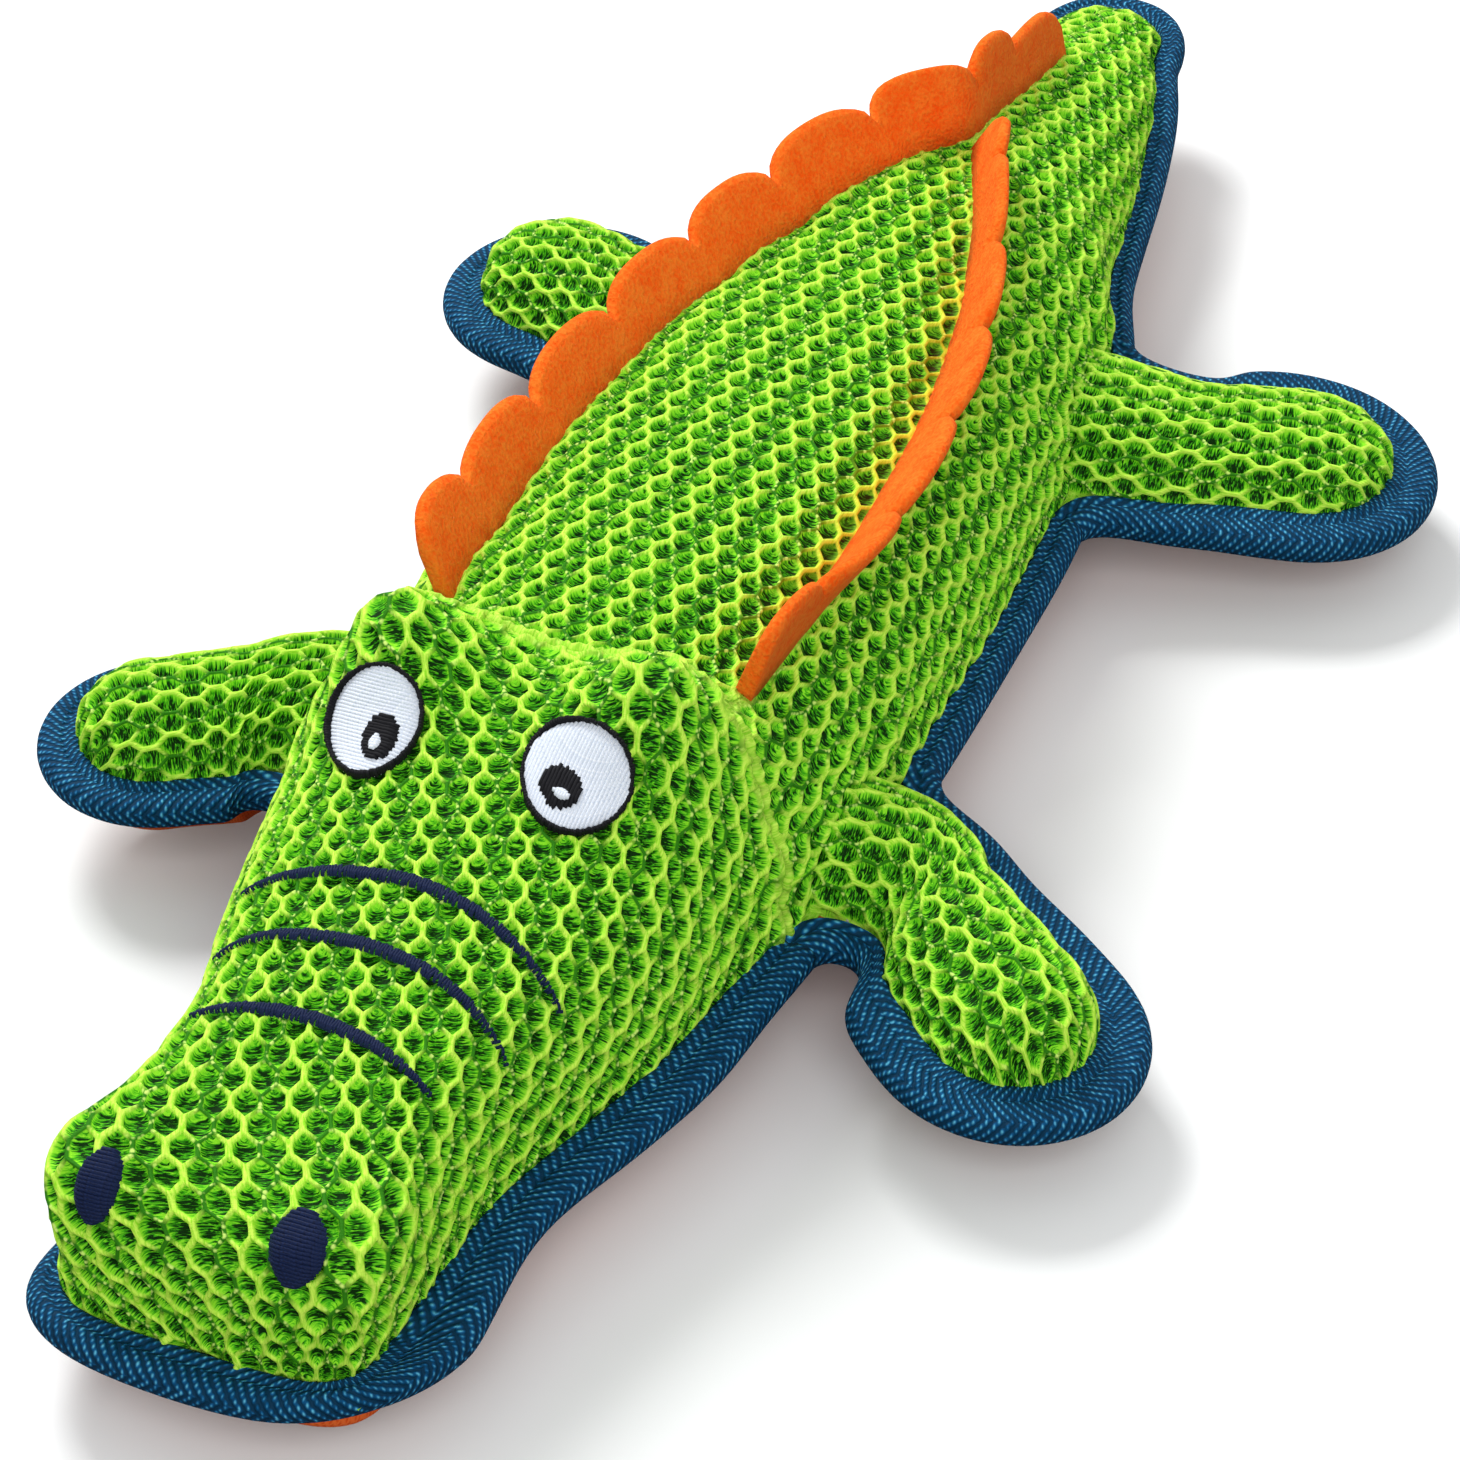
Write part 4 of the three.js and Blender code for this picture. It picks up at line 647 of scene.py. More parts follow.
def knit(name, cloth, inside, settle, across=HOLE_PITCH, wale=WALE, turn=0.0, pattern=None):
    """A panel of whole holes where inside(s, t) says, moved and pressed by settle(s, t, height)."""
    kinds = hole_kinds(across, wale)
    along = wale + APEX
    cos, sin = math.cos(turn), math.sin(turn)
    reach = max(cloth.s[-1], -2 * cloth.t[0]) + 20
    rows = np.arange(-int(reach / along), int(reach / along) + 1)
    columns = np.arange(-int(reach / across), int(reach / across) + 1)
    places, heights, depths, yarns, faces, keys, uvs = [], [], [], [], [], [], []
    total = 0
    for (odd, even_column), (points, height, depth_of, yarn_of) in kinds.items():
        r, c = np.meshgrid(rows[rows % 2 == odd], columns[columns % 2 == even_column], indexing="ij")
        u, v = r.ravel() * along, across * (c.ravel() + 0.5 * (r.ravel() % 2))
        s, t = u * cos - v * sin, u * sin + v * cos
        if pattern is not None:
            s, t = pattern(s, t)
        keep = inside(s, t)
        u, v = u[keep], v[keep]
        count = len(u)
        if not count:
            continue
        pu, pv = u[:, None] + points[None, :, 0], v[:, None] + points[None, :, 1]
        # Rim points of neighbours get one key and are merged; the others get keys of their own
        key = np.round(np.stack([pu, pv], -1) * 50).astype(np.int64)
        key = (key[..., 0] * 100003 + key[..., 1]) * 64
        key[:, RIM_POINTS:] += np.arange(1, HOLE_POINTS - RIM_POINTS + 1)
        places.append(np.stack([pu * cos - pv * sin, pu * sin + pv * cos], -1).reshape(-1, 2))
        uvs.append(np.stack([pu, pv], -1).reshape(-1, 2))
        keys.append(key.reshape(-1))
        heights.append(np.tile(height, count))
        depths.append(np.tile(depth_of, count))
        yarns.append(np.tile(yarn_of, count))
        faces.append((RINGS[None] + (total + HOLE_POINTS * np.arange(count))[:, None, None]).reshape(-1, 4))
        total += HOLE_POINTS * count
    places, uvs, keys = np.vstack(places), np.vstack(uvs), np.concatenate(keys)
    heights, depths, yarns, faces = (np.concatenate(x) for x in (heights, depths, yarns, faces))
    _, first, index = np.unique(keys, return_index=True, return_inverse=True)
    faces = index.reshape(-1)[faces]
    places, uvs, heights, depths, yarns = (x[first] for x in (places, uvs, heights, depths, yarns))
    s, t = places.T if pattern is None else pattern(places[:, 0], places[:, 1])
    s, t, height, closed = settle(s, t, heights)
    depths = depths * (1 - closed)
    yarns = yarns + (0.85 - yarns) * closed
    if cloth.turned:
        faces = faces[:, ::-1]
    shaped = []
    for a, b, c, d in faces.tolist():
        shaped.append((a, b, c) if c == d else (b, c, d) if a == b else (a, b, c, d))
    piece = piece_of(name, cloth.lay(s, t, height), shaped, air_mesh)
    write_uv(piece, uvs)
    for key, values in (("depth", depths), ("strand", yarns)):
        piece.data.attributes.new(key, "FLOAT", "POINT").data.foreach_set("value", values.astype(np.float32))
    return piece


def pressed(height, distance):
    """Cloth squeezed flat where it enters a seam, at a distance from it in millimetres."""
    share = 0.18 + 0.82 * smooth(distance, 0.0, 8.0)
    return height * share - 0.25 * (1 - smooth(distance, 0.0, 2.5))


TAPE_ROOM = 2.0  # that the holes run on inside the tape
HEAD_TURN = math.radians(-24)  # of the wales on the head, cut across the cloth's run


def head_inside(s, t):
    left, right = body_cloth.edge(s)
    return (s > -1.5) & (s < head_end + 1.2) & (t < left + TAPE_ROOM) & (t > right - TAPE_ROOM)


def at_seam(height, to_seam):
    """The head's rear seam: the cloth is squeezed into a raised cord on each side of the stitching."""
    height = height * (0.3 + 0.7 * smooth(to_seam, 0.5, 3.0)) + 1.0 * np.exp(-((to_seam - 1.1) / 0.9) ** 2)
    height = np.where(to_seam < 0.3, height - 1.6 * (1 - np.clip(to_seam / 0.3, 0, 1)), height)
    return height, 0.9 * (1 - smooth(to_seam, 0.8, 2.6))


def head_settle(s, t, height):
    left, right = body_cloth.edge(s)
    edge = np.minimum(left - t, t - right)
    height, closed = at_seam(pressed(height, edge), head_end - s)
    closed = np.maximum(closed, 0.75 * (1 - smooth(edge, 0.3, 2.2)))
    return np.clip(s, 0.05, head_end - 0.05), t, height, closed


head_cover = knit("head_cover_mesh", body_cloth, head_inside, head_settle, turn=HEAD_TURN,
                  pattern=laid_flat(body_cloth, HEAD_ROW + 8))
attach(head_cover, "torso")
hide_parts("head_cover")

# Felt ridges: two bands of 3 mm needle felt stood on edge in the cloth and scalloped along the top.
# The left one leans out and ends ahead of the tail; the right one runs to the tail's end.
# Place along the body and half the distance between the ridges
RIDGE_LINE = [(-57, 26.5), (-27, 28), (0, 27.5), (25, 25), (50, 20), (70, 14), (88, 7.2), (102, 1.9)]
# Place of each notch, its height, and the height of the lobe behind it
SCALLOPS = [
    (-57, 1.5, 13.8), (-38, 8.6, 12.7), (-13, 6.6, 12.4), (14, 6.4, 12.5), (39, 6.7, 13.1), (61, 7, 13.8),
    (85, 7.4, 14.6), (104, 8.4, 15.2), (122, 10.0, 11.4), (148, 1.5, 0),
]
# Place and outward lean in degrees, left ridge and right one
LEANS = {
    1: [(-63, 17), (-44, 20), (-34, 35), (-13, 41), (25, 37), (45, 28), (70, 18), (84, 22), (95.5, 27)],
    -1: [(-57, 27), (82, 27), (104, 6), (149, 3)],
}
FELT_THICK, FELT_ROOT = 3.0, 1.6
# The left ridge's scallops lie further ahead; its two ends are blunt lobes
LEFT_SHIFT, LEFT_FRONT, LEFT_END = 4.5, -62, 95.5
END_LOBE, END_LOW, END_REACH = 11.5, 3.5, 6.5


def over_at(y, x):
    """The point over the back at y whose x is given, and its arc length from the middle."""
    row = body_row(y, y, through(PLAN, 1, y), (through(PLAN, 2, y), y))
    line = over(row, ANGLES)
    arc = np.concatenate([[0], np.cumsum(np.linalg.norm(np.diff(line, axis=0), axis=1))])
    half = len(ANGLES) // 2
    e = np.interp(-abs(x), -line[:half + 1, 0], np.arange(half + 1))
    point = np.array([np.interp(e, np.arange(len(line)), line[:, c]) for c in range(3)])
    point[0] = x
    return point, (arc[half] - np.interp(e, np.arange(len(line)), arc)) * np.sign(x if x else 1)


def ridge_base(side, y):
    base = through(RIDGE_LINE, 1, y)
    if side < 0:
        return base * (1 - float(smooth(y, 88, 104)))
    return max(base, 3.3) * (1 - float(smooth(y, 102, 110))) if y > 95 else base


ridge_arcs = {}
for side in (1, -1):
    ys = np.arange(-66, 152, 3.0)
    arcs = [over_at(y, side * max(ridge_base(side, y), 0.01))[1] for y in ys]
    rows_y = np.array([row["seam_y"] for row in body_rows])
    ridge_arcs[side] = (np.interp(ys, rows_y, body_cloth.s), np.array(arcs))


def ridge_t(side, s):
    return np.interp(s, *ridge_arcs[side])


felt, tree, shader = new_material("needle felt, orange polyester")
# Pressed fibre has no direction: matt and blotchy, with a pale bloom at grazing angles
place = add_node(tree, "ShaderNodeTexCoord").outputs["Object"]
# Felt fibres, about 0.05 mm, drawn as 0.5 mm tufts so that they show
tuft = add_node(tree, "ShaderNodeTexNoise", {0: place}, in_Scale=1500.0, in_Detail=4.0)
blot = add_node(tree, "ShaderNodeTexNoise", {0: place}, in_Scale=260.0, in_Detail=3.0)
both = add_node(tree, "ShaderNodeMath", {0: tuft.outputs[0], 2: blot.outputs[0]},
                operation="MULTIPLY_ADD", in_1=1.6)
share = add_node(tree, "ShaderNodeMapRange", {0: both.outputs[0]}, in_1=0.95, in_2=1.65)
tone = add_node(tree, "ShaderNodeValToRGB", {0: share.outputs[0]}, [(0.0, "#FF5A0C"), (1.0, "#FF8028")])
tree.links.new(tone.outputs[0], shader.inputs["Base Color"])
shader.inputs["Roughness"].default_value = 0.95
shader.inputs["Specular IOR Level"].default_value = 0.1
shader.inputs["Sheen Weight"].default_value = 0.12
shader.inputs["Sheen Tint"].default_value = linear("#FF9A5A")
bump = add_node(tree, "ShaderNodeBump", {"Height": tuft.outputs[0]}, in_Strength=0.9, in_Distance=0.0006)
tree.links.new(bump.outputs[0], shader.inputs["Normal"])


def laid_grid(name, rows, material, uv=None, closed=False):
    """A grid primitive whose points are moved onto rows of places; a closed one is a capped tube."""
    rows = np.asarray(rows, float)
    count, wide = rows.shape[:2]
    bpy.ops.object.select_all(action="DESELECT")
    bpy.ops.mesh.primitive_grid_add(x_subdivisions=wide - 1, y_subdivisions=count - 1, size=1)
    piece = bpy.context.object
    piece.name = piece.data.name = name
    piece.data.vertices.foreach_set("co", rows.reshape(-1))
    if uv is not None:
        write_uv(piece, np.asarray(uv).reshape(-1, 2))
    if closed:
        bpy.ops.object.mode_set(mode="EDIT")
        bpy.ops.mesh.select_all(action="SELECT")
        bpy.ops.mesh.remove_doubles(threshold=1e-6)
        bpy.ops.mesh.fill_holes(sides=0)
        bpy.ops.mesh.select_all(action="SELECT")
        bpy.ops.mesh.normals_make_consistent(inside=False)
        bpy.ops.object.mode_set(mode="OBJECT")
    piece.data.materials.append(material)
    bpy.ops.object.shade_smooth()
    return piece


# Across the felt and up it, as shares of its half-thickness and its height
SECTION = [
    (-1.0, 0.0), (-1.0, 0.35), (-1.0, 0.7), (-0.92, 0.9), (-0.55, 0.985), (0.0, 1.0), (0.55, 0.985),
    (0.92, 0.9), (1.0, 0.7), (1.0, 0.35), (1.0, 0.0), (0.0, 0.0), (-1.0, 0.0),
]
LOBE_STEPS = 16


def scalloped(side):
    """Height of the ridge's top over the cloth at places along it."""
    rows = []
    for (y0, low, lobe), (y1, next_low, _) in zip(SCALLOPS[:-1], SCALLOPS[1:]):
        first = last = False
        if side > 0:
            y0, y1 = y0 - LEFT_SHIFT, y1 - LEFT_SHIFT
            first, last = y0 < -50, y1 > LEFT_END
            if y0 >= LEFT_END:
                break
        if first:
            y0 = LEFT_FRONT
        if last:
            y1, lobe = LEFT_END, END_LOBE
        for t in np.linspace(0, 1, LOBE_STEPS + 1)[:-1]:
            y = y0 + (y1 - y0) * t
            notch = low + (next_low - low) * t
            tall = notch + (lobe - notch) * math.sqrt(max(1 - abs(2 * t - 1) ** 2.4, 0))
            if last and t > 0.5 or first and t < 0.5:
                to_end = min(LEFT_END - y, y - LEFT_FRONT) / END_REACH
                tall = END_LOW + (lobe - END_LOW) * math.sqrt(max(1 - max(1 - to_end, 0) ** 2, 0))
            rows.append((y, tall))
    rows.append((LEFT_END, END_LOW) if side > 0 else (SCALLOPS[-1][0], 1.5))
    return rows


for side, name in ((1, "ridge_left"), (-1, "ridge_right")):
    places = []
    for y, tall in scalloped(side):
        foot, _ = over_at(y, side * max(ridge_base(side, y), 0.01))
        lean = math.radians(through(LEANS[side], 1, y))
        up = np.array([math.sin(lean) * side, 0, math.cos(lean)])
        thick = np.array([math.cos(lean) * side, 0, -math.sin(lean)]) * FELT_THICK / 2
        places.append([foot - up * FELT_ROOT + thick * a * (1 - 0.12 * b) + up * (tall + FELT_ROOT) * b
                       for a, b in SECTION])
    ridge = laid_grid(name + "_felt", to_row(places), felt, closed=True)
    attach(ridge, "torso")
    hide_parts(name)

# Back and flank panels: the same knitted mesh, its wales along the body. The three are cut at the felt,
# sewn together through it, and sewn to the head's rear seam and into the tape.
FELT_END, BACK_END = 148, 109  # where the right ridge and the back panel end
felt_end, back_end = np.interp((FELT_END, BACK_END), [row["seam_y"] for row in body_rows], body_cloth.s)


def panel(name, low, high, last=body_cloth.s[-1] + 1.2):
    """A panel of the body behind the head, between the lines t = low(s) and t = high(s)."""
    def inside(s, t):
        # Beyond the felt the cloth isn't cut, so that a hole there is in one panel or the other
        room = 2.6 * (s < felt_end)
        return (s > head_end - 1.2) & (s < last) & (t > low(s) - room - 0.1) & (t <= high(s) + room - 0.1)

    def settle(s, t, height):
        left, right = body_cloth.edge(s)
        edge = np.minimum(left - t, t - right)
        height, closed = at_seam(pressed(height, edge), s - head_end)
        closed = np.maximum(closed, 0.75 * (1 - smooth(edge, 0.3, 2.2)))
        slack = 3.0 * (s > felt_end)
        t = np.clip(t, low(s) - slack, high(s) + slack)
        to_felt = np.minimum(t - low(s), high(s) - t) + slack
        height *= 0.2 + 0.8 * smooth(to_felt, 1.2, 4.0)
        closed = np.maximum(closed, 0.8 * (1 - smooth(to_felt, 1.3, 2.6)))
        return np.clip(s, head_end + 0.05, body_cloth.s[-1] - 0.05), t, height, closed

    piece = knit(name + "_mesh", body_cloth, inside, settle)
    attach(piece, "torso")
    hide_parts(name)
    return piece


def line_left(s):
    return ridge_t(1, s)


def line_right(s):
    return ridge_t(-1, s)


back_panel = panel("back_panel", line_right, line_left, back_end)
# Painted orange bounce light from the felt on the back panel: strongest at the left ridge's felt, fading
# within about 5 mm, and only along the middle of the back
places = np.empty(3 * len(back_panel.data.vertices))
back_panel.data.vertices.foreach_get("co", places)
places = places.reshape(-1, 3) / MM
to_felt = np.interp(places[:, 1] + MIDDLE[1], *np.array(RIDGE_LINE).T) - (places[:, 0] + MIDDLE[0])
FELT_BOUNCE_SHARE, FELT_BOUNCE_REACH = 0.62, 5
share = FELT_BOUNCE_SHARE * np.exp(-(to_felt / FELT_BOUNCE_REACH) ** 2)
share *= smooth(places[:, 1], -60, -35) * (1 - smooth(places[:, 1], 45, 85))
back_panel.data.attributes.new("lint", "FLOAT", "POINT").data.foreach_set("value", share.astype(np.float32))
panel("flank_panel_left", line_left, lambda s: body_cloth.edge(s)[0] + TAPE_ROOM)
panel("flank_panel_right", lambda s: body_cloth.edge(s)[1] - TAPE_ROOM, line_right)

# Belly: plain woven polyester cloth in orange, one piece from snout to tail.
# It is sewn to the back's edges inside the same tape, and the stuffing rounds it.
belly_cloth, tree, shader = new_material("plain woven polyester cloth, orange")
place = add_node(tree, "ShaderNodeUVMap", uv_map="cloth_mm")
# A fine square grid with a slight shine: threads 0.5 mm apart, drawn at 1 mm so that they show
warp = add_node(tree, "ShaderNodeTexWave", {0: place.outputs[0]}, in_Scale=0.31, bands_direction="X")
weft = add_node(tree, "ShaderNodeTexWave", {0: place.outputs[0]}, in_Scale=0.31, bands_direction="Y")
weave = add_node(tree, "ShaderNodeMath", {0: warp.outputs[0], 1: weft.outputs[0]}, operation="MAXIMUM")
tone = add_node(tree, "ShaderNodeValToRGB", {0: weave.outputs[0]}, [(0.0, "#E8500E"), (0.9, "#FF7430")])
tree.links.new(tone.outputs[0], shader.inputs["Base Color"])
shader.inputs["Roughness"].default_value = 0.8
shader.inputs["Specular IOR Level"].default_value = 0.2
bump = add_node(tree, "ShaderNodeBump", {"Height": weave.outputs[0]}, in_Strength=0.4, in_Distance=0.0002)
tree.links.new(bump.outputs[0], shader.inputs["Normal"])

BELLY_ANGLES = np.linspace(math.pi, 0, 61)
TUCKED, SAGGED = 3.5, 0.7  # how far the cloth runs into the tape, and how far it lies below the seam there


def under(row, e):
    """Points under the belly at angles e, as over() has them on the back."""
    cos, sin = np.cos(e), np.sin(e)
    swell = BULGE * 0.6 * np.sin(2 * np.minimum(e, math.pi - e))
    x = np.sign(cos) * (row["half"] * np.abs(cos) ** row["curve"] + swell)
    y = row["seam_y"] + (row["middle_y"] - row["seam_y"]) * 0.6 * sin ** 1.5
    z = row["seam"] - GAP / 2 - (row["down"] - GAP / 2) * np.abs(sin) ** (0.8 * row["curve"])
    return np.stack([x, y, z], -1)


rows, uv = [], []
for i, row in enumerate(body_rows):
    line = under(row, BELLY_ANGLES)
    out = outs[i][0]
    left, right = line[-1] + out * TUCKED, line[0] + out * [-1, 1, 1] * TUCKED
    line = np.vstack([right, line, left])
    line[[0, -1], 2] -= SAGGED
    line[:, 2] = np.maximum(line[:, 2], 0)
    rows.append(line[::-1])
    uv.append([(body_cloth.s[i], x) for x in line[::-1, 0]])
belly = laid_grid("belly_panel_cloth", to_row(rows), belly_cloth, uv=uv)
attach(belly, "torso")
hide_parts("belly_panel")

# Edge tape: woven navy polyester tape, folded over the seam's raw edges and sewn through.
# On the toy it is one length round the body and the legs; here it is cut where a leg begins.
tape_weave, tree, shader = new_material("woven polyester tape, navy")
place = add_node(tree, "ShaderNodeUVMap", uv_map="cloth_mm")
# Herringbone twill, which turns back at the middle of each leaf: matt navy, with painted highlights in light
# blue on the floats of its slanted ribs. The ribs are about 0.8 mm apart and are drawn at 1.3 mm, broken
# every 1 mm, so that they show.
split = add_node(tree, "ShaderNodeSeparateXYZ", {0: place.outputs[0]})
turned = add_node(tree, "ShaderNodeMath", {0: split.outputs["Y"]}, operation="PINGPONG", in_1=4.5)
laid = add_node(tree, "ShaderNodeCombineXYZ", {"X": split.outputs["X"], "Y": turned.outputs[0]})
waves = []
for pitch, turn in ((1.3, 0.75), (1.0, -0.35)):
    slanted = add_node(tree, "ShaderNodeMapping", {0: laid.outputs[0]}, in_Scale=(1 / pitch, 1 / pitch, 1.0),
                       in_Rotation=(0, 0, turn))
    waves.append(add_node(tree, "ShaderNodeTexWave", {0: slanted.outputs[0]}, in_Scale=0.314,
                          in_Distortion=1.6, in_Detail=2.0))
ribs, breaks = waves
broken = add_node(tree, "ShaderNodeMapRange", {0: breaks.outputs["Fac"]}, in_3=0.35, in_4=1.0)
floats = add_node(tree, "ShaderNodeMath", {0: ribs.outputs["Fac"], 1: broken.outputs[0]},
                  operation="MULTIPLY")
# Noise that makes the painted highlights on the floats stronger and weaker in patches
highlight_breakup = add_node(tree, "ShaderNodeTexNoise", {0: place.outputs[0]}, in_Scale=0.35, in_Detail=3.0)
float_highlight = add_node(tree, "ShaderNodeMath", {0: floats.outputs[0], 1: highlight_breakup.outputs[0]}, operation="MULTIPLY")
tone = add_node(tree, "ShaderNodeValToRGB", {0: float_highlight.outputs[0]},
                [(0.08, "#00304C"), (0.3, "#0A5E94"), (0.6, "#5FBCE0")])
tree.links.new(tone.outputs[0], shader.inputs["Base Color"])
shader.inputs["Roughness"].default_value = 0.7
shader.inputs["Specular IOR Level"].default_value = 0.12
bump = add_node(tree, "ShaderNodeBump", {"Height": floats.outputs[0]}, in_Strength=0.9, in_Distance=0.0006)
tree.links.new(bump.outputs[0], shader.inputs["Normal"])

TAPE_HALF, TAPE_SLOT, TAPE_NOSE = 2.65, 1.2, 2.4  # half-thickness, half-gap inside, length of the round fold
TAPE_INNER = -0.6  # from the seam to the tape's near edge, which the cloth's swell covers
STITCH_GROOVE = 0.45  # where the seam's stitches pull the upper leaf down
LEAF_STEPS, FOLD_STEPS, EASE_ROUNDS = 11, 11, 14


def folded(inner, outer):
    """The folded tape's section from its inner edge to its fold, with the cloth's slot between its leaves."""
    inner, outer = np.array(inner, float), np.array(outer, float)
    wide = np.linalg.norm(outer - inner)
    out = (outer - inner) / max(wide, 1e-6)
    nose = min(TAPE_NOSE, wide * 0.45)
    leaf = np.linspace((wide - nose) * 0.2, wide - nose, LEAF_STEPS)[:-1]
    profile = [(0, TAPE_SLOT), (-0.05, TAPE_HALF * 0.72), (0.5, TAPE_HALF * 0.93)]
    for a in leaf:
        groove = STITCH_GROOVE * math.exp(-(((a - wide * 0.36) / 0.55) ** 2))
        profile.append((a, TAPE_HALF - groove))
    for a in np.linspace(0, math.pi, FOLD_STEPS):
        profile.append((wide - nose + nose * math.sin(a), TAPE_HALF * math.cos(a)))
    for a in leaf[::-1]:
        profile.append((a, -TAPE_HALF))
    profile += [(0.5, -TAPE_HALF * 0.93), (-0.05, -TAPE_HALF * 0.72), (0, -TAPE_SLOT)]
    profile += [((wide - nose) * 0.8, -TAPE_SLOT), ((wide - nose) * 0.8, TAPE_SLOT), (0, TAPE_SLOT)]
    points = [inner + out * a + np.array([0, 0, b]) for a, b in profile]
    girth = np.concatenate([[0], np.cumsum(np.hypot(*np.diff(np.array(profile), axis=0).T))])
    return points, girth


def eased(stations):
    """The tape's path with its small steps eased, its ends kept."""
    path = np.array([(np.array(a, float), np.array(b, float)) for a, b in stations])
    for _ in range(EASE_ROUNDS):
        path[1:-1] = (path[:-2] + 2 * path[1:-1] + path[2:]) / 4
    return path


def tape_piece(name, stations):
    """A length of folded tape through its stations, each an inner and an outer edge point."""
    rings, uv, along = [], [], 0.0
    last = None
    for inner, outer in eased(stations):
        ring, girth = folded(inner, outer)
        if last is not None:
            along += float(np.linalg.norm(np.array(outer) - last))
        last = np.array(outer)
        rings.append(ring)
        uv.append([(along, g) for g in girth])
    return laid_grid(name + "_woven", to_row(rings), tape_weave, uv=uv, closed=True)


TAPE_CURL = math.radians(28)


def curled(inner, outer):
    """Beside the snout on the toy's right the tape is pulled in and turned down by its own weight."""
    share = float(smooth(-outer[0], 4, 30) * smooth(-outer[1], 84, 110) * smooth(outer[1], -196, -168))
    inner, outer = fill_corner(np.array(inner, float)), np.array(outer, float)
    across = outer - inner
    turn = TAPE_CURL * share
    drop = [0, 0, np.linalg.norm(across) * math.sin(turn)]
    return inner, inner + across * (math.cos(turn) * (1 - 0.12 * share)) - drop


def side_station(side, y):
    z = through(SIDE, 1, y)
    return curled((side * (through(PLAN, 1, y) + TAPE_INNER), y, z), (side * through(PLAN, 2, y), y, z))


def end_station(end, a):
    """A station round a blunt end: a is 0 on the toy's left and pi on its right."""
    near, far = [(math.copysign(abs(math.cos(a)) ** p, math.cos(a)), math.sin(a) ** p)
                 for p in (end["corner"], end["round"] + end["loose"] * max(math.cos(a), 0) ** 0.5)]
    step = math.copysign(TAPE_INNER, end["seam"])
    y_in = end["shoulder"] + (end["seam"] + step - end["shoulder"]) * near[1]
    y_out = end["shoulder"] + (end["fold"] - end["shoulder"]) * far[1]
    z = through(SIDE, 1, max(min((y_in + y_out) / 2, SIDE[-1][0]), SIDE[0][0]))
    inner = ((through(PLAN, 1, end["shoulder"]) + TAPE_INNER) * near[0], y_in, z)
    return curled(inner, (through(PLAN, 2, end["shoulder"]) * far[0], y_out, z))


# Where the body's four lengths of tape end beside the legs, from head to tail
HEAD_TAPE_END, FLANK_TAPE_START, FLANK_TAPE_END, TAIL_TAPE_START = -80.6, -33.4, 35.1, 88.9
TAPE_LAP = 0.3  # of the flank's tape over the legs'
TAPE_STEP = 1.5
END_TURNS = math.pi * (0.5 - 0.5 * np.cos(np.linspace(0.03, 0.97, 60) * math.pi))
head_places = np.arange(HEAD_TAPE_END, SNOUT["shoulder"], -TAPE_STEP)
head_path = [side_station(1, y) for y in head_places]
head_path += [end_station(SNOUT, a) for a in END_TURNS]
head_path += [side_station(-1, y) for y in head_places[::-1]]
tail_places = np.arange(TAIL_TAPE_START, TAIL["shoulder"], TAPE_STEP)
tail_path = [side_station(1, y) for y in tail_places]
tail_path += [end_station(TAIL, a) for a in END_TURNS]
tail_path += [side_station(-1, y) for y in tail_places[::-1]]
flank_places = np.linspace(FLANK_TAPE_START - TAPE_LAP, FLANK_TAPE_END + TAPE_LAP, 50)
for name, stations in (
    ("tape_head", head_path),
    ("tape_tail", tail_path),
    ("tape_flank_left", [side_station(1, y) for y in flank_places]),
    ("tape_flank_right", [side_station(-1, y) for y in flank_places]),
):
    piece = tape_piece(name, stations)
    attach(piece, "torso")
    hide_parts(name)

# Legs: each a flat paw of the same mesh over orange cloth, edged with tape and stuffed, sewn into the
# body's side seam. The front left leg is the longest; all bend softly where they leave the body.
HINGE_X, HINGE_Z = 46.5, 17.5
ROOT_RADIUS, ROOT_FOLD = 12.5, 5.5
LEG_SOLE, SAGGING_SOLE = 9.5, 14  # depth under the seam; the front right sole sags and shows below the tape
LEG_START = 7  # where a leg's tape leaves the body's
BLEND_INSIDE, BLEND_OUTSIDE = 4, 11  # distances inside and outside the hinge; each leg's points there are worked out, but not used
# Side, place along the body, sweep and length; droop, half-width at the root and of the paw, height over
# the seam, width of the tape; width and straight side of the mesh's holes, which are stretched on each leg
LEGS = {
    "front_left": (1, -57, -38, 61.5, 5, 13.5, 13.7, 15.5, 8.6, 3.8, 2.7),
    "front_right": (-1, -57, -34, 49, -1, 16.5, 12.7, 13.5, 6.8, 3.6, 2.3),
    "rear_left": (1, 62, 20, 53, 5, 17, 16.5, 10.5, 8.4, 3.45, 2.1),
    "rear_right": (-1, 62, 14, 40.5, 1, 17, 15, 13.5, 7.3, 3.45, 2.1),
}
CAP_TURNS = np.radians(np.append(np.linspace(0, 80, 15)[1:], [84, 87.5]))
TIP_TURNS = np.linspace(0, math.pi, 44)[1:-1]
CORNER_STEPS = 12


def mix(a, b, t):
    return a + (b - a) * t


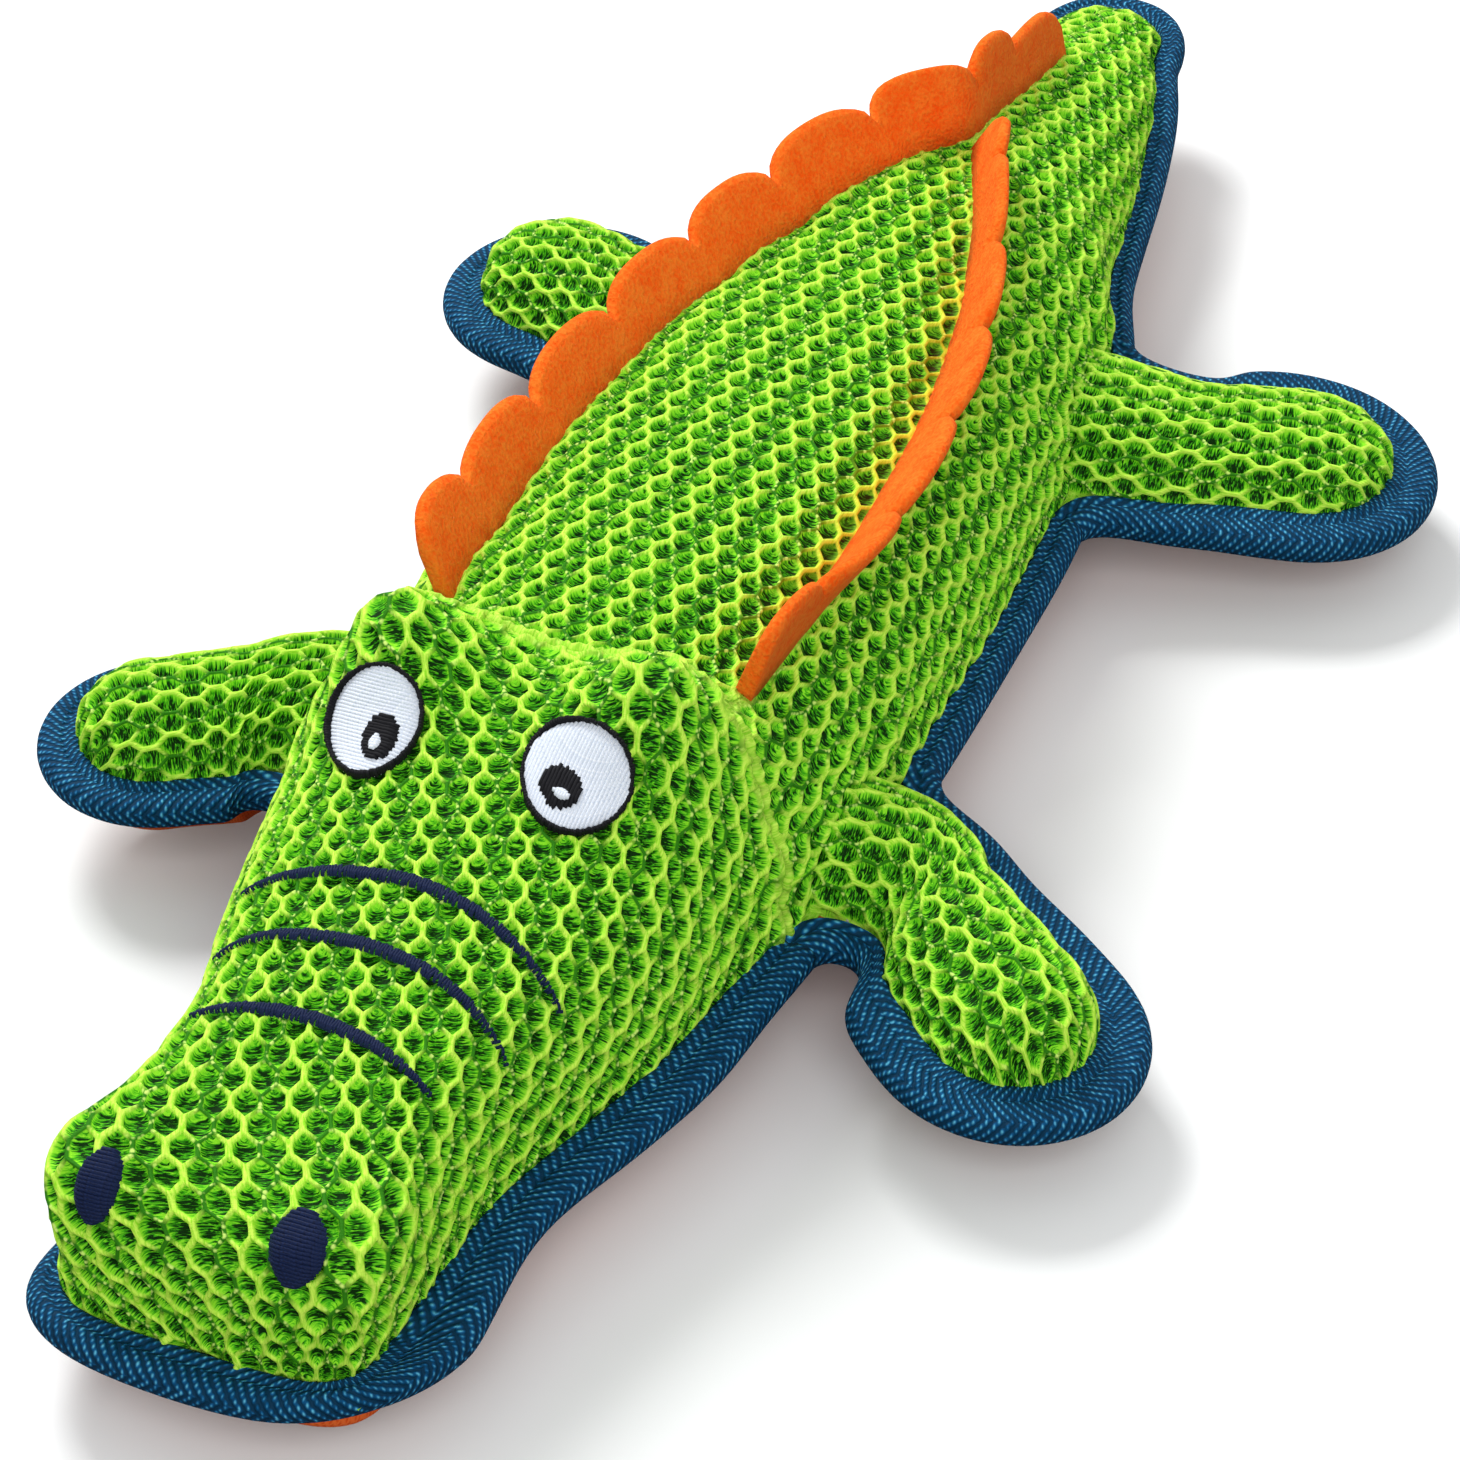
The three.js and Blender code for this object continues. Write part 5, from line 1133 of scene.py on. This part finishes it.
def leg_rows(sweep, length, root, pad, top, fold, sole_depth):
    """Sections along a leg from inside the body, those round its tip, and the last straight one."""
    straight = length - (pad + fold)

    def row_at(s):
        turn = math.radians(sweep) * float(smooth(s / length, 0, 0.55))
        bend = math.radians(sweep) * min(max(s / length / 0.3, 0), 1)
        t = min(max(s / straight, 0), 1)
        return {
            "centre": np.array([s * math.cos(bend), s * math.sin(bend)]),
            "across": np.array([-math.sin(turn), math.cos(turn)]),
            "ahead": np.array([math.cos(turn), math.sin(turn)]),
            "c": mix(root, pad, float(smooth(t, 0, 1))) - 0.6 * math.sin(math.pi * t),
            "fold": mix(ROOT_FOLD, fold, float(smooth(t, 0, 0.8))),
            "up": mix(ROOT_RADIUS, top, float(smooth(t, 0, 0.7))),
            "down": mix(ROOT_RADIUS, sole_depth, float(smooth(t, 0, 0.7))),
        }

    rows = [row_at(s) for s in np.linspace(-16, straight, 52)]
    last = rows[-1]
    cap = []
    for a in CAP_TURNS:
        row = dict(last)
        row["centre"] = last["centre"] + last["ahead"] * pad * math.sin(a)
        row["c"] = pad * math.cos(a)
        row["up"], row["down"] = last["up"] * math.cos(a) ** 0.6, last["down"] * math.cos(a) ** 0.6
        cap.append(row)
    return rows, cap, last


def leg_line(row, e, way):
    """Points of a leg's section at angles e: its upper side where way is 1, its sole where it is -1."""
    cos, sin = np.cos(e), np.sin(e)
    size = row["up"] if way > 0 else row["down"]
    side = row["c"] * np.sign(cos) * np.abs(cos) ** 0.9
    p = row["centre"][None] + row["across"][None] * side[:, None]
    z = way * (GAP / 2 + max(size - GAP / 2, 0) * np.abs(sin) ** 0.9)
    return np.column_stack([p, z])


for leg, (side, leg_y, sweep, length, droop, root, pad, top, fold, across, wale) in LEGS.items():
    def leg_place(points):
        p = np.array(points, float)
        cos, sin = math.cos(math.radians(droop)), math.sin(math.radians(droop))
        x, y, z = p[..., 0].copy(), p[..., 1].copy(), p[..., 2].copy()
        p[..., 0] = side * (HINGE_X + x * cos + z * sin)
        p[..., 1] = leg_y + y
        p[..., 2] = HINGE_Z + z * cos - x * sin
        return p

    # Cover, on a sheet that runs over the leg from seam to seam
    sole_depth = SAGGING_SOLE if leg == "front_right" else LEG_SOLE
    rows, cap, last = leg_rows(sweep, length, root, pad, top, fold, sole_depth)
    every = rows + cap
    leg_outs = [(row["across"], -row["across"]) for row in rows]
    for row, a in zip(cap, CAP_TURNS):
        aside, ahead = row["across"] * math.cos(a), row["ahead"] * math.sin(a)
        leg_outs.append((aside + ahead, -aside + ahead))
    ways = [[leg_place([*v, 0]) - leg_place([0, 0, 0]) for v in pair] for pair in leg_outs]
    e_top = np.linspace(0, math.pi, 121)
    leg_cloth = Cloth([leg_place(leg_line(row, e_top, 1)) for row in every], ways)

    def leg_inside(s, t):
        left, right = leg_cloth.edge(s)
        return (s > 0) & (s < leg_cloth.s[-1] + 1.5) & (t < left + TAPE_ROOM) & (t > right - TAPE_ROOM)

    def leg_settle(s, t, height):
        left, right = leg_cloth.edge(s)
        edge = np.minimum(np.minimum(left - t, t - right), (leg_cloth.s[-1] - s) + 1.0)
        closed = 0.75 * (1 - smooth(edge, 0.3, 2.2))
        return np.clip(s, 0.05, leg_cloth.s[-1] - 0.05), t, pressed(height, edge), closed

    cover = knit(f"leg_{leg}_cover_mesh", leg_cloth, leg_inside, leg_settle, across=across, wale=wale)

    # Sole, tucked into the tape on both sides
    sole_rows = leg_place([leg_line(row, np.linspace(0, math.pi, 41), -1) for row in every])
    sole_rows[..., 2] = np.maximum(sole_rows[..., 2], 0)
    left, right = [np.array([pair[k] for pair in ways])[:, None] * TUCKED for k in (0, 1)]
    wide = np.concatenate([sole_rows[:, :1] + left, sole_rows, sole_rows[:, -1:] + right], axis=1)
    wide[:, [0, -1], 2] -= SAGGED
    if side < 0:
        wide = wide[:, ::-1]
    sole = laid_grid(f"leg_{leg}_sole_cloth", to_row(wide), belly_cloth,
                     uv=[[(i * 1.2, k * 0.8) for k in range(wide.shape[1])] for i in range(len(wide))])

    # Tape, from the body's tape round a corner, along the leg, round its tip and back
    reaches = (TAPE_INNER, fold)
    lines = {1: [], -1: []}
    for way in (1, -1):
        for row in rows:
            if row["centre"][0] >= LEG_START:
                lines[way].append([
                    leg_place([*(row["centre"] + way * row["across"] * (row["c"] + reach)), 0])
                    for reach in (TAPE_INNER, row["fold"])
                ])
    tip = []
    for a in TIP_TURNS:
        way = last["across"] * math.cos(a) + last["ahead"] * math.sin(a)
        tip.append([leg_place([*(last["centre"] + way * (pad + reach)), 0]) for reach in reaches])
    ends = (FLANK_TAPE_START, HEAD_TAPE_END) if leg_y < 0 else (TAIL_TAPE_START, FLANK_TAPE_END)
    corners = []
    for y_end, way in zip(ends, (1, -1)):
        body_end, leg_end = side_station(side, y_end), lines[way][0]
        turn = []
        for t in np.linspace(0, 1, CORNER_STEPS + 1)[:-1]:
            pair = []
            for edge, hug in ((0, 0.86), (1, 0.62)):
                b0, b3 = np.array(body_end[edge]), np.array(leg_end[edge])
                root_edge = leg_place([0, way * (root + (TAPE_INNER, ROOT_FOLD)[edge]), 0])
                knee = np.array([side * (through(PLAN, 1 + edge, root_edge[1])), root_edge[1], HINGE_Z])
                b1, b2 = b0 + (knee - b0) * hug, b3 + (knee - b3) * hug
                left = 1 - t
                pair.append(left ** 3 * b0 + 3 * t * left ** 2 * b1 + 3 * t * t * left * b2 + t ** 3 * b3)
            turn.append(pair)
        corners.append(turn)
    stations = corners[0] + lines[1] + tip + lines[-1][::-1] + corners[1][::-1]
    tape = tape_piece(f"leg_{leg}_tape", stations)

    x = side * HINGE_X
    start, end = to_row([
        [x - side * BLEND_INSIDE, leg_y, HINGE_Z], [x + side * BLEND_OUTSIDE, leg_y, HINGE_Z],
    ])
    for piece in (cover, sole, tape):
        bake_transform(piece)
        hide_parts(piece.name.rsplit("_", 1)[0])

# Satin stitches: eyes, nostrils and the lines on the snout are sewn with rayon thread, laid side by side.
# Each stitch is a real thread on the cloth, flattened at its ends where it goes in.
form_grid = body_cloth.grid[:, ::4]
count, wide = form_grid.shape[:2]
form_faces = [(i * wide + k, i * wide + k + 1, (i + 1) * wide + k + 1, (i + 1) * wide + k)
              for i in range(count - 1) for k in range(wide - 1)]
form = BVHTree.FromPolygons([Vector(p) for p in form_grid.reshape(-1, 3)], form_faces)


def thread_material(name, low, high):
    material, tree, shader = new_material(name)
    place = add_node(tree, "ShaderNodeUVMap", uv_map="cloth_mm")
    # Softly shining strands: filaments of about 0.02 mm, drawn at 0.25 mm so that they show
    twist = add_node(tree, "ShaderNodeTexNoise", {0: place.outputs[0]}, in_Scale=3.0, in_Detail=2.0)
    tone = add_node(tree, "ShaderNodeValToRGB", {0: twist.outputs[0]}, [(0.3, low), (0.7, high)])
    tree.links.new(tone.outputs[0], shader.inputs["Base Color"])
    shader.inputs["Roughness"].default_value = 0.65
    shader.inputs["Specular IOR Level"].default_value = 0.15
    bump = add_node(tree, "ShaderNodeBump", {"Height": twist.outputs[0]}, in_Strength=0.3, in_Distance=0.0001)
    tree.links.new(bump.outputs[0], shader.inputs["Normal"])
    return material


navy_thread = thread_material("satin stitch thread, navy rayon", "#040C26", "#15264F")
black_thread = thread_material("satin stitch thread, black rayon", "#040406", "#15151B")
white_thread = thread_material("satin stitch thread, white rayon", "#C9D4E4", "#F0F4FA")


# Points along a thread and round its upper half
STEPS, ROUND = 9, 5


def stitches(name, chords, centre, axes, material, lift, radius=0.3):
    """Threads laid along chords of a patch, in its own millimetres, on the cloth below it."""
    out, right, up = axes
    vertices, faces, uv = [], [], []
    for p0, p1 in chords:
        line = []
        for t in np.linspace(0, 1, STEPS):
            q = centre + right * mix(p0[0], p1[0], t) + up * mix(p0[1], p1[1], t)
            start = Vector(to_row(q + out * 20))
            hit, normal, _, _ = form.ray_cast(start, -Vector(out), 0.06)
            if hit is None:
                hit, normal, _, _ = form.find_nearest(Vector(to_row(q)))
            if normal.dot(Vector(out)) < 0:
                normal = -normal
            rise = (lift + 0.25) * (1 - abs(2 * t - 1) ** 5) - 0.1
            line.append((np.array(hit) + np.array(normal) * rise * MM, np.array(normal)))
        first = len(vertices)
        length = 0.0
        for i, (p, normal) in enumerate(line):
            ahead = line[min(i + 1, STEPS - 1)][0] - line[max(i - 1, 0)][0]
            if i:
                length += np.linalg.norm(p - line[i - 1][0]) / MM
            aside = np.cross(ahead, normal)
            aside /= max(np.linalg.norm(aside), 1e-12)
            for k in range(ROUND):
                a = math.pi * k / (ROUND - 1)
                push = aside * math.cos(a) * radius * 1.15 + normal * math.sin(a) * radius
                vertices.append(p + push * MM)
                uv.append((length, k * 0.4))
        for i in range(STEPS - 1):
            for k in range(ROUND - 1):
                a = first + i * ROUND + k
                faces.append((a, a + ROUND, a + ROUND + 1, a + 1))
    piece = piece_of(name + "_stitches", vertices, faces, material)
    write_uv(piece, uv)
    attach(piece, "torso")
    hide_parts(name)


rng = np.random.default_rng(7)


def oval_rows(width, height, pitch, angle=0.0, jitter=0.12):
    """Chords that fill an oval, at an angle, side by side."""
    cos, sin = math.cos(angle), math.sin(angle)
    chords = []
    a, b = width / 2, height / 2
    reach = math.hypot(a * sin, b * cos)
    for q in np.arange(-reach + pitch / 2, reach, pitch):
        # Where the line at offset q along (cos, sin) meets the oval: the roots of a quadratic
        px, py = -sin * q, cos * q
        square = (cos / a) ** 2 + (sin / b) ** 2
        single = 2 * (px * cos / a ** 2 + py * sin / b ** 2)
        plain = (px / a) ** 2 + (py / b) ** 2 - 1
        under_root = single * single - 4 * square * plain
        if under_root <= 0:
            continue
        root = math.sqrt(under_root)
        t0, t1 = (-single - root) / (2 * square), (-single + root) / (2 * square)
        if t1 - t0 < 0.5:
            continue
        t0 -= rng.uniform(0, jitter)
        t1 += rng.uniform(0, jitter)
        chords.append(((px + cos * t0, py + sin * t0), (px + cos * t1, py + sin * t1)))
    return chords


def patch_axes(out):
    """Unit vectors out of a patch, to its right and up it."""
    out = np.array(out) / np.linalg.norm(out)
    right = np.array([1.0, 0, 0]) - out * out[0]
    right /= np.linalg.norm(right)
    up = np.cross(right, out)
    return out, right, up if up[2] > 0 else -up


# Eyes: centre, direction that the patch faces, width, height and turn of the stitches; how far the pupil
# lies to the right of the centre, and the glint to the right of the pupil; width of that side's nostril
EYES = {
    "left": ((16.2, -99.5, 59.5), (0.28, -0.72, 0.64), 16.0, 16.6, math.radians(80), -1.7, 0.45, 8.0),
    "right": ((-17.0, -100.0, 60.0), (0.2, -0.72, 0.66), 14.4, 16.8, 0.0, 2.1, -0.2, 6.2),
}
PUPIL_DROP, GLINT_DROP = 2.3, 1.2
PUPIL_SIZE, GLINT_SIZE, NOSTRIL_HEIGHT = (6.0, 7.2), (2.3, 2.3), 10.2
NOSTRIL = (15.8, -187, 43.5)
for side, (word, eye) in zip((1, -1), EYES.items()):
    centre, facing, wide, tall, angle, pupil_right, glint_right, nostril_width = eye
    axes = out, right, up = patch_axes(facing)
    centre = np.array(centre)
    stitches(f"eye_white_{word}", oval_rows(wide, tall, 0.56, angle), centre, axes,
             white_thread, 0.6)
    ring = []
    for a in np.arange(0, 2 * math.pi, 0.05):
        rim = np.array([math.cos(a) * wide / 2, math.sin(a) * tall / 2])
        inner, outer = 0.965 - rng.uniform(0, 0.03), 1.03 + rng.uniform(0, 0.035)
        ring.append((rim * inner, rim * outer))
    stitches(f"eye_outline_{word}", ring, centre, axes, black_thread, 0.85, radius=0.24)
    pupil = centre - up * PUPIL_DROP + right * pupil_right
    stitches(f"eye_pupil_{word}", oval_rows(*PUPIL_SIZE, 0.5, angle, jitter=0.5), pupil, axes,
             black_thread, 1.1)
    glint = pupil - up * GLINT_DROP + right * glint_right
    stitches(f"eye_glint_{word}", oval_rows(*GLINT_SIZE, 0.4, angle, jitter=0.05), glint, axes,
             white_thread, 1.5)
    stitches(f"nostril_{word}", oval_rows(nostril_width, NOSTRIL_HEIGHT, 0.5, 0.05, jitter=0.3),
             np.array(NOSTRIL) * [side, 1, 1], patch_axes([0.16 * side, -0.8, 0.6]),
             navy_thread, 0.8)

# Lines on the snout: place over the middle, place at the ends, half-length. Their ends on the toy's right
# are a little shorter.
WRINKLES = ((-122.5, -127.5, 26.5), (-135.6, -139.5, 24), (-150.6, -153, 19.5))
WRINKLE_PITCH, SHORTER = 0.42, 0.92
from_above = (np.array([0, 0, 1.0]), np.array([1.0, 0, 0]), np.array([0, 1.0, 0]))
for number, (middle, end, half) in enumerate(WRINKLES, 1):
    chords = []
    for x in np.arange(-half, half, WRINKLE_PITCH):
        if x < -SHORTER * half:
            continue
        t = x / half
        y = mix(middle, end, t * t) - 1.3 * abs(t)
        w = 0.2 + 0.85 * max(1 - max(t, -t / SHORTER) ** 2, 0) ** 0.8
        tilt = rng.uniform(-0.35, 0.35)
        chords.append(((x - tilt, y - w - rng.uniform(0, 0.3)), (x + tilt, y + w + rng.uniform(0, 0.3))))
    stitches(f"snout_wrinkle_{number}", chords, np.array([0, 0, 60.0]), from_above,
             navy_thread, 0.45, radius=0.22)

# Stuffing: carded polyester fibre, pushed loose into the body and into each leg, so that it fills them.
fibre_fill, tree, shader = new_material("polyester fibre filling, white")
place = add_node(tree, "ShaderNodeTexCoord").outputs["Object"]
# White, matt and wispy: tufts of about 3 mm
wisp = add_node(tree, "ShaderNodeTexNoise", {0: place}, in_Scale=350.0, in_Detail=6.0, in_Distortion=1.5)
tone = add_node(tree, "ShaderNodeValToRGB", {0: wisp.outputs[0]}, [(0.3, "#D8DAD6"), (0.7, "#FBFBF8")])
tree.links.new(tone.outputs[0], shader.inputs["Base Color"])
shader.inputs["Roughness"].default_value = 0.95
bump = add_node(tree, "ShaderNodeBump", {"Height": wisp.outputs[0]}, in_Strength=0.8, in_Distance=0.0015)
tree.links.new(bump.outputs[0], shader.inputs["Normal"])
DRAWN_IN = 1.8  # from the cloth's inner face
TAIL_THINNED, TAIL_MIDDLE = 0.3, 21  # share taken off in the tail, and the height about which it is
REAR_LEFT_FILL, REAR_LEFT_DROOP = 0.6, math.radians(5)
FILL_BLEND_INSIDE, FILL_BLEND_OUTSIDE = 7, 9
for node_name in ["body_stuffing"] + [f"leg_{leg}_stuffing" for leg in LEGS]:
    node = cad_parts[node_name]
    bpy.ops.object.select_all(action="DESELECT")
    mesh = node.data.copy()
    mesh.materials.clear()
    mesh.materials.append(fibre_fill)
    batting = bpy.data.objects.new(node_name + "_fibre", mesh)
    bpy.context.collection.objects.link(batting)
    batting.matrix_world = node.matrix_world
    bpy.context.view_layer.objects.active = batting
    batting.select_set(True)
    bpy.ops.object.transform_apply(location=True, rotation=True, scale=True)
    bpy.ops.object.mode_set(mode="EDIT")
    bpy.ops.mesh.select_all(action="SELECT")
    bpy.ops.mesh.remove_doubles(threshold=1e-6)
    bpy.ops.mesh.normals_make_consistent(inside=False)
    bpy.ops.transform.shrink_fatten(value=-DRAWN_IN * MM)
    bpy.ops.object.mode_set(mode="OBJECT")
    if node_name == "body_stuffing":
        # Thinner in the tail, where the fibre is hard to push in
        places = np.empty(3 * len(mesh.vertices))
        mesh.vertices.foreach_get("co", places)
        places = places.reshape(-1, 3)
        thin = 1 - TAIL_THINNED * smooth(places[:, 1], 0.105, 0.165)
        places[:, 2] = TAIL_MIDDLE * MM + (places[:, 2] - TAIL_MIDDLE * MM) * thin
        mesh.vertices.foreach_set("co", places.ravel())
    if node_name == "leg_rear_left_stuffing":
        # The rear left leg is stuffed less than the others
        for vertex in mesh.vertices:
            plane = HINGE_Z - (vertex.co.x / MM + MIDDLE[0] - HINGE_X) * math.tan(REAR_LEFT_DROOP)
            above = vertex.co.z / MM - plane
            if above > 0:
                vertex.co.z = (plane + REAR_LEFT_FILL * above) * MM
    bpy.ops.object.shade_smooth()
    if node_name == "body_stuffing":
        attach(batting, "torso")
    else:
        leg = node_name.removeprefix("leg_").removesuffix("_stuffing")
        side, leg_y = LEGS[leg][:2]
        x = side * HINGE_X
        start, end = to_row([
            [x - side * FILL_BLEND_INSIDE, leg_y, HINGE_Z], [x + side * FILL_BLEND_OUTSIDE, leg_y, HINGE_Z],
        ])
        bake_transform(batting)
    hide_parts(node_name)

# Squeaker: a blow-moulded polyethylene bulb with a moulded valve pressed into its neck and a reed in the
# valve, loose in the stuffing. The three keep the solids' own shapes and only get their finish here.
for node_name, low, high, rough in (
    ("squeaker_bulb", "#E4E6E2", "#F4F5F2", 0.35),
    ("squeaker_valve", "#D6DADC", "#E6E9EA", 0.3),
    ("squeaker_reed", "#C62F2A", "#DA4038", 0.3),
):
    material, tree, shader = new_material(f"moulded polyethylene, {node_name.split('_')[1]}")
    place = add_node(tree, "ShaderNodeTexCoord").outputs["Object"]
    # Waxy and slightly hazy, in patches of about 2 mm
    haze = add_node(tree, "ShaderNodeTexNoise", {0: place}, in_Scale=500.0, in_Detail=3.0)
    tone = add_node(tree, "ShaderNodeValToRGB", {0: haze.outputs[0]}, [(0.35, low), (0.65, high)])
    tree.links.new(tone.outputs[0], shader.inputs["Base Color"])
    shader.inputs["Roughness"].default_value = rough
    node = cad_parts[node_name]
    node.data.materials.clear()
    node.data.materials.append(material)

low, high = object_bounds()
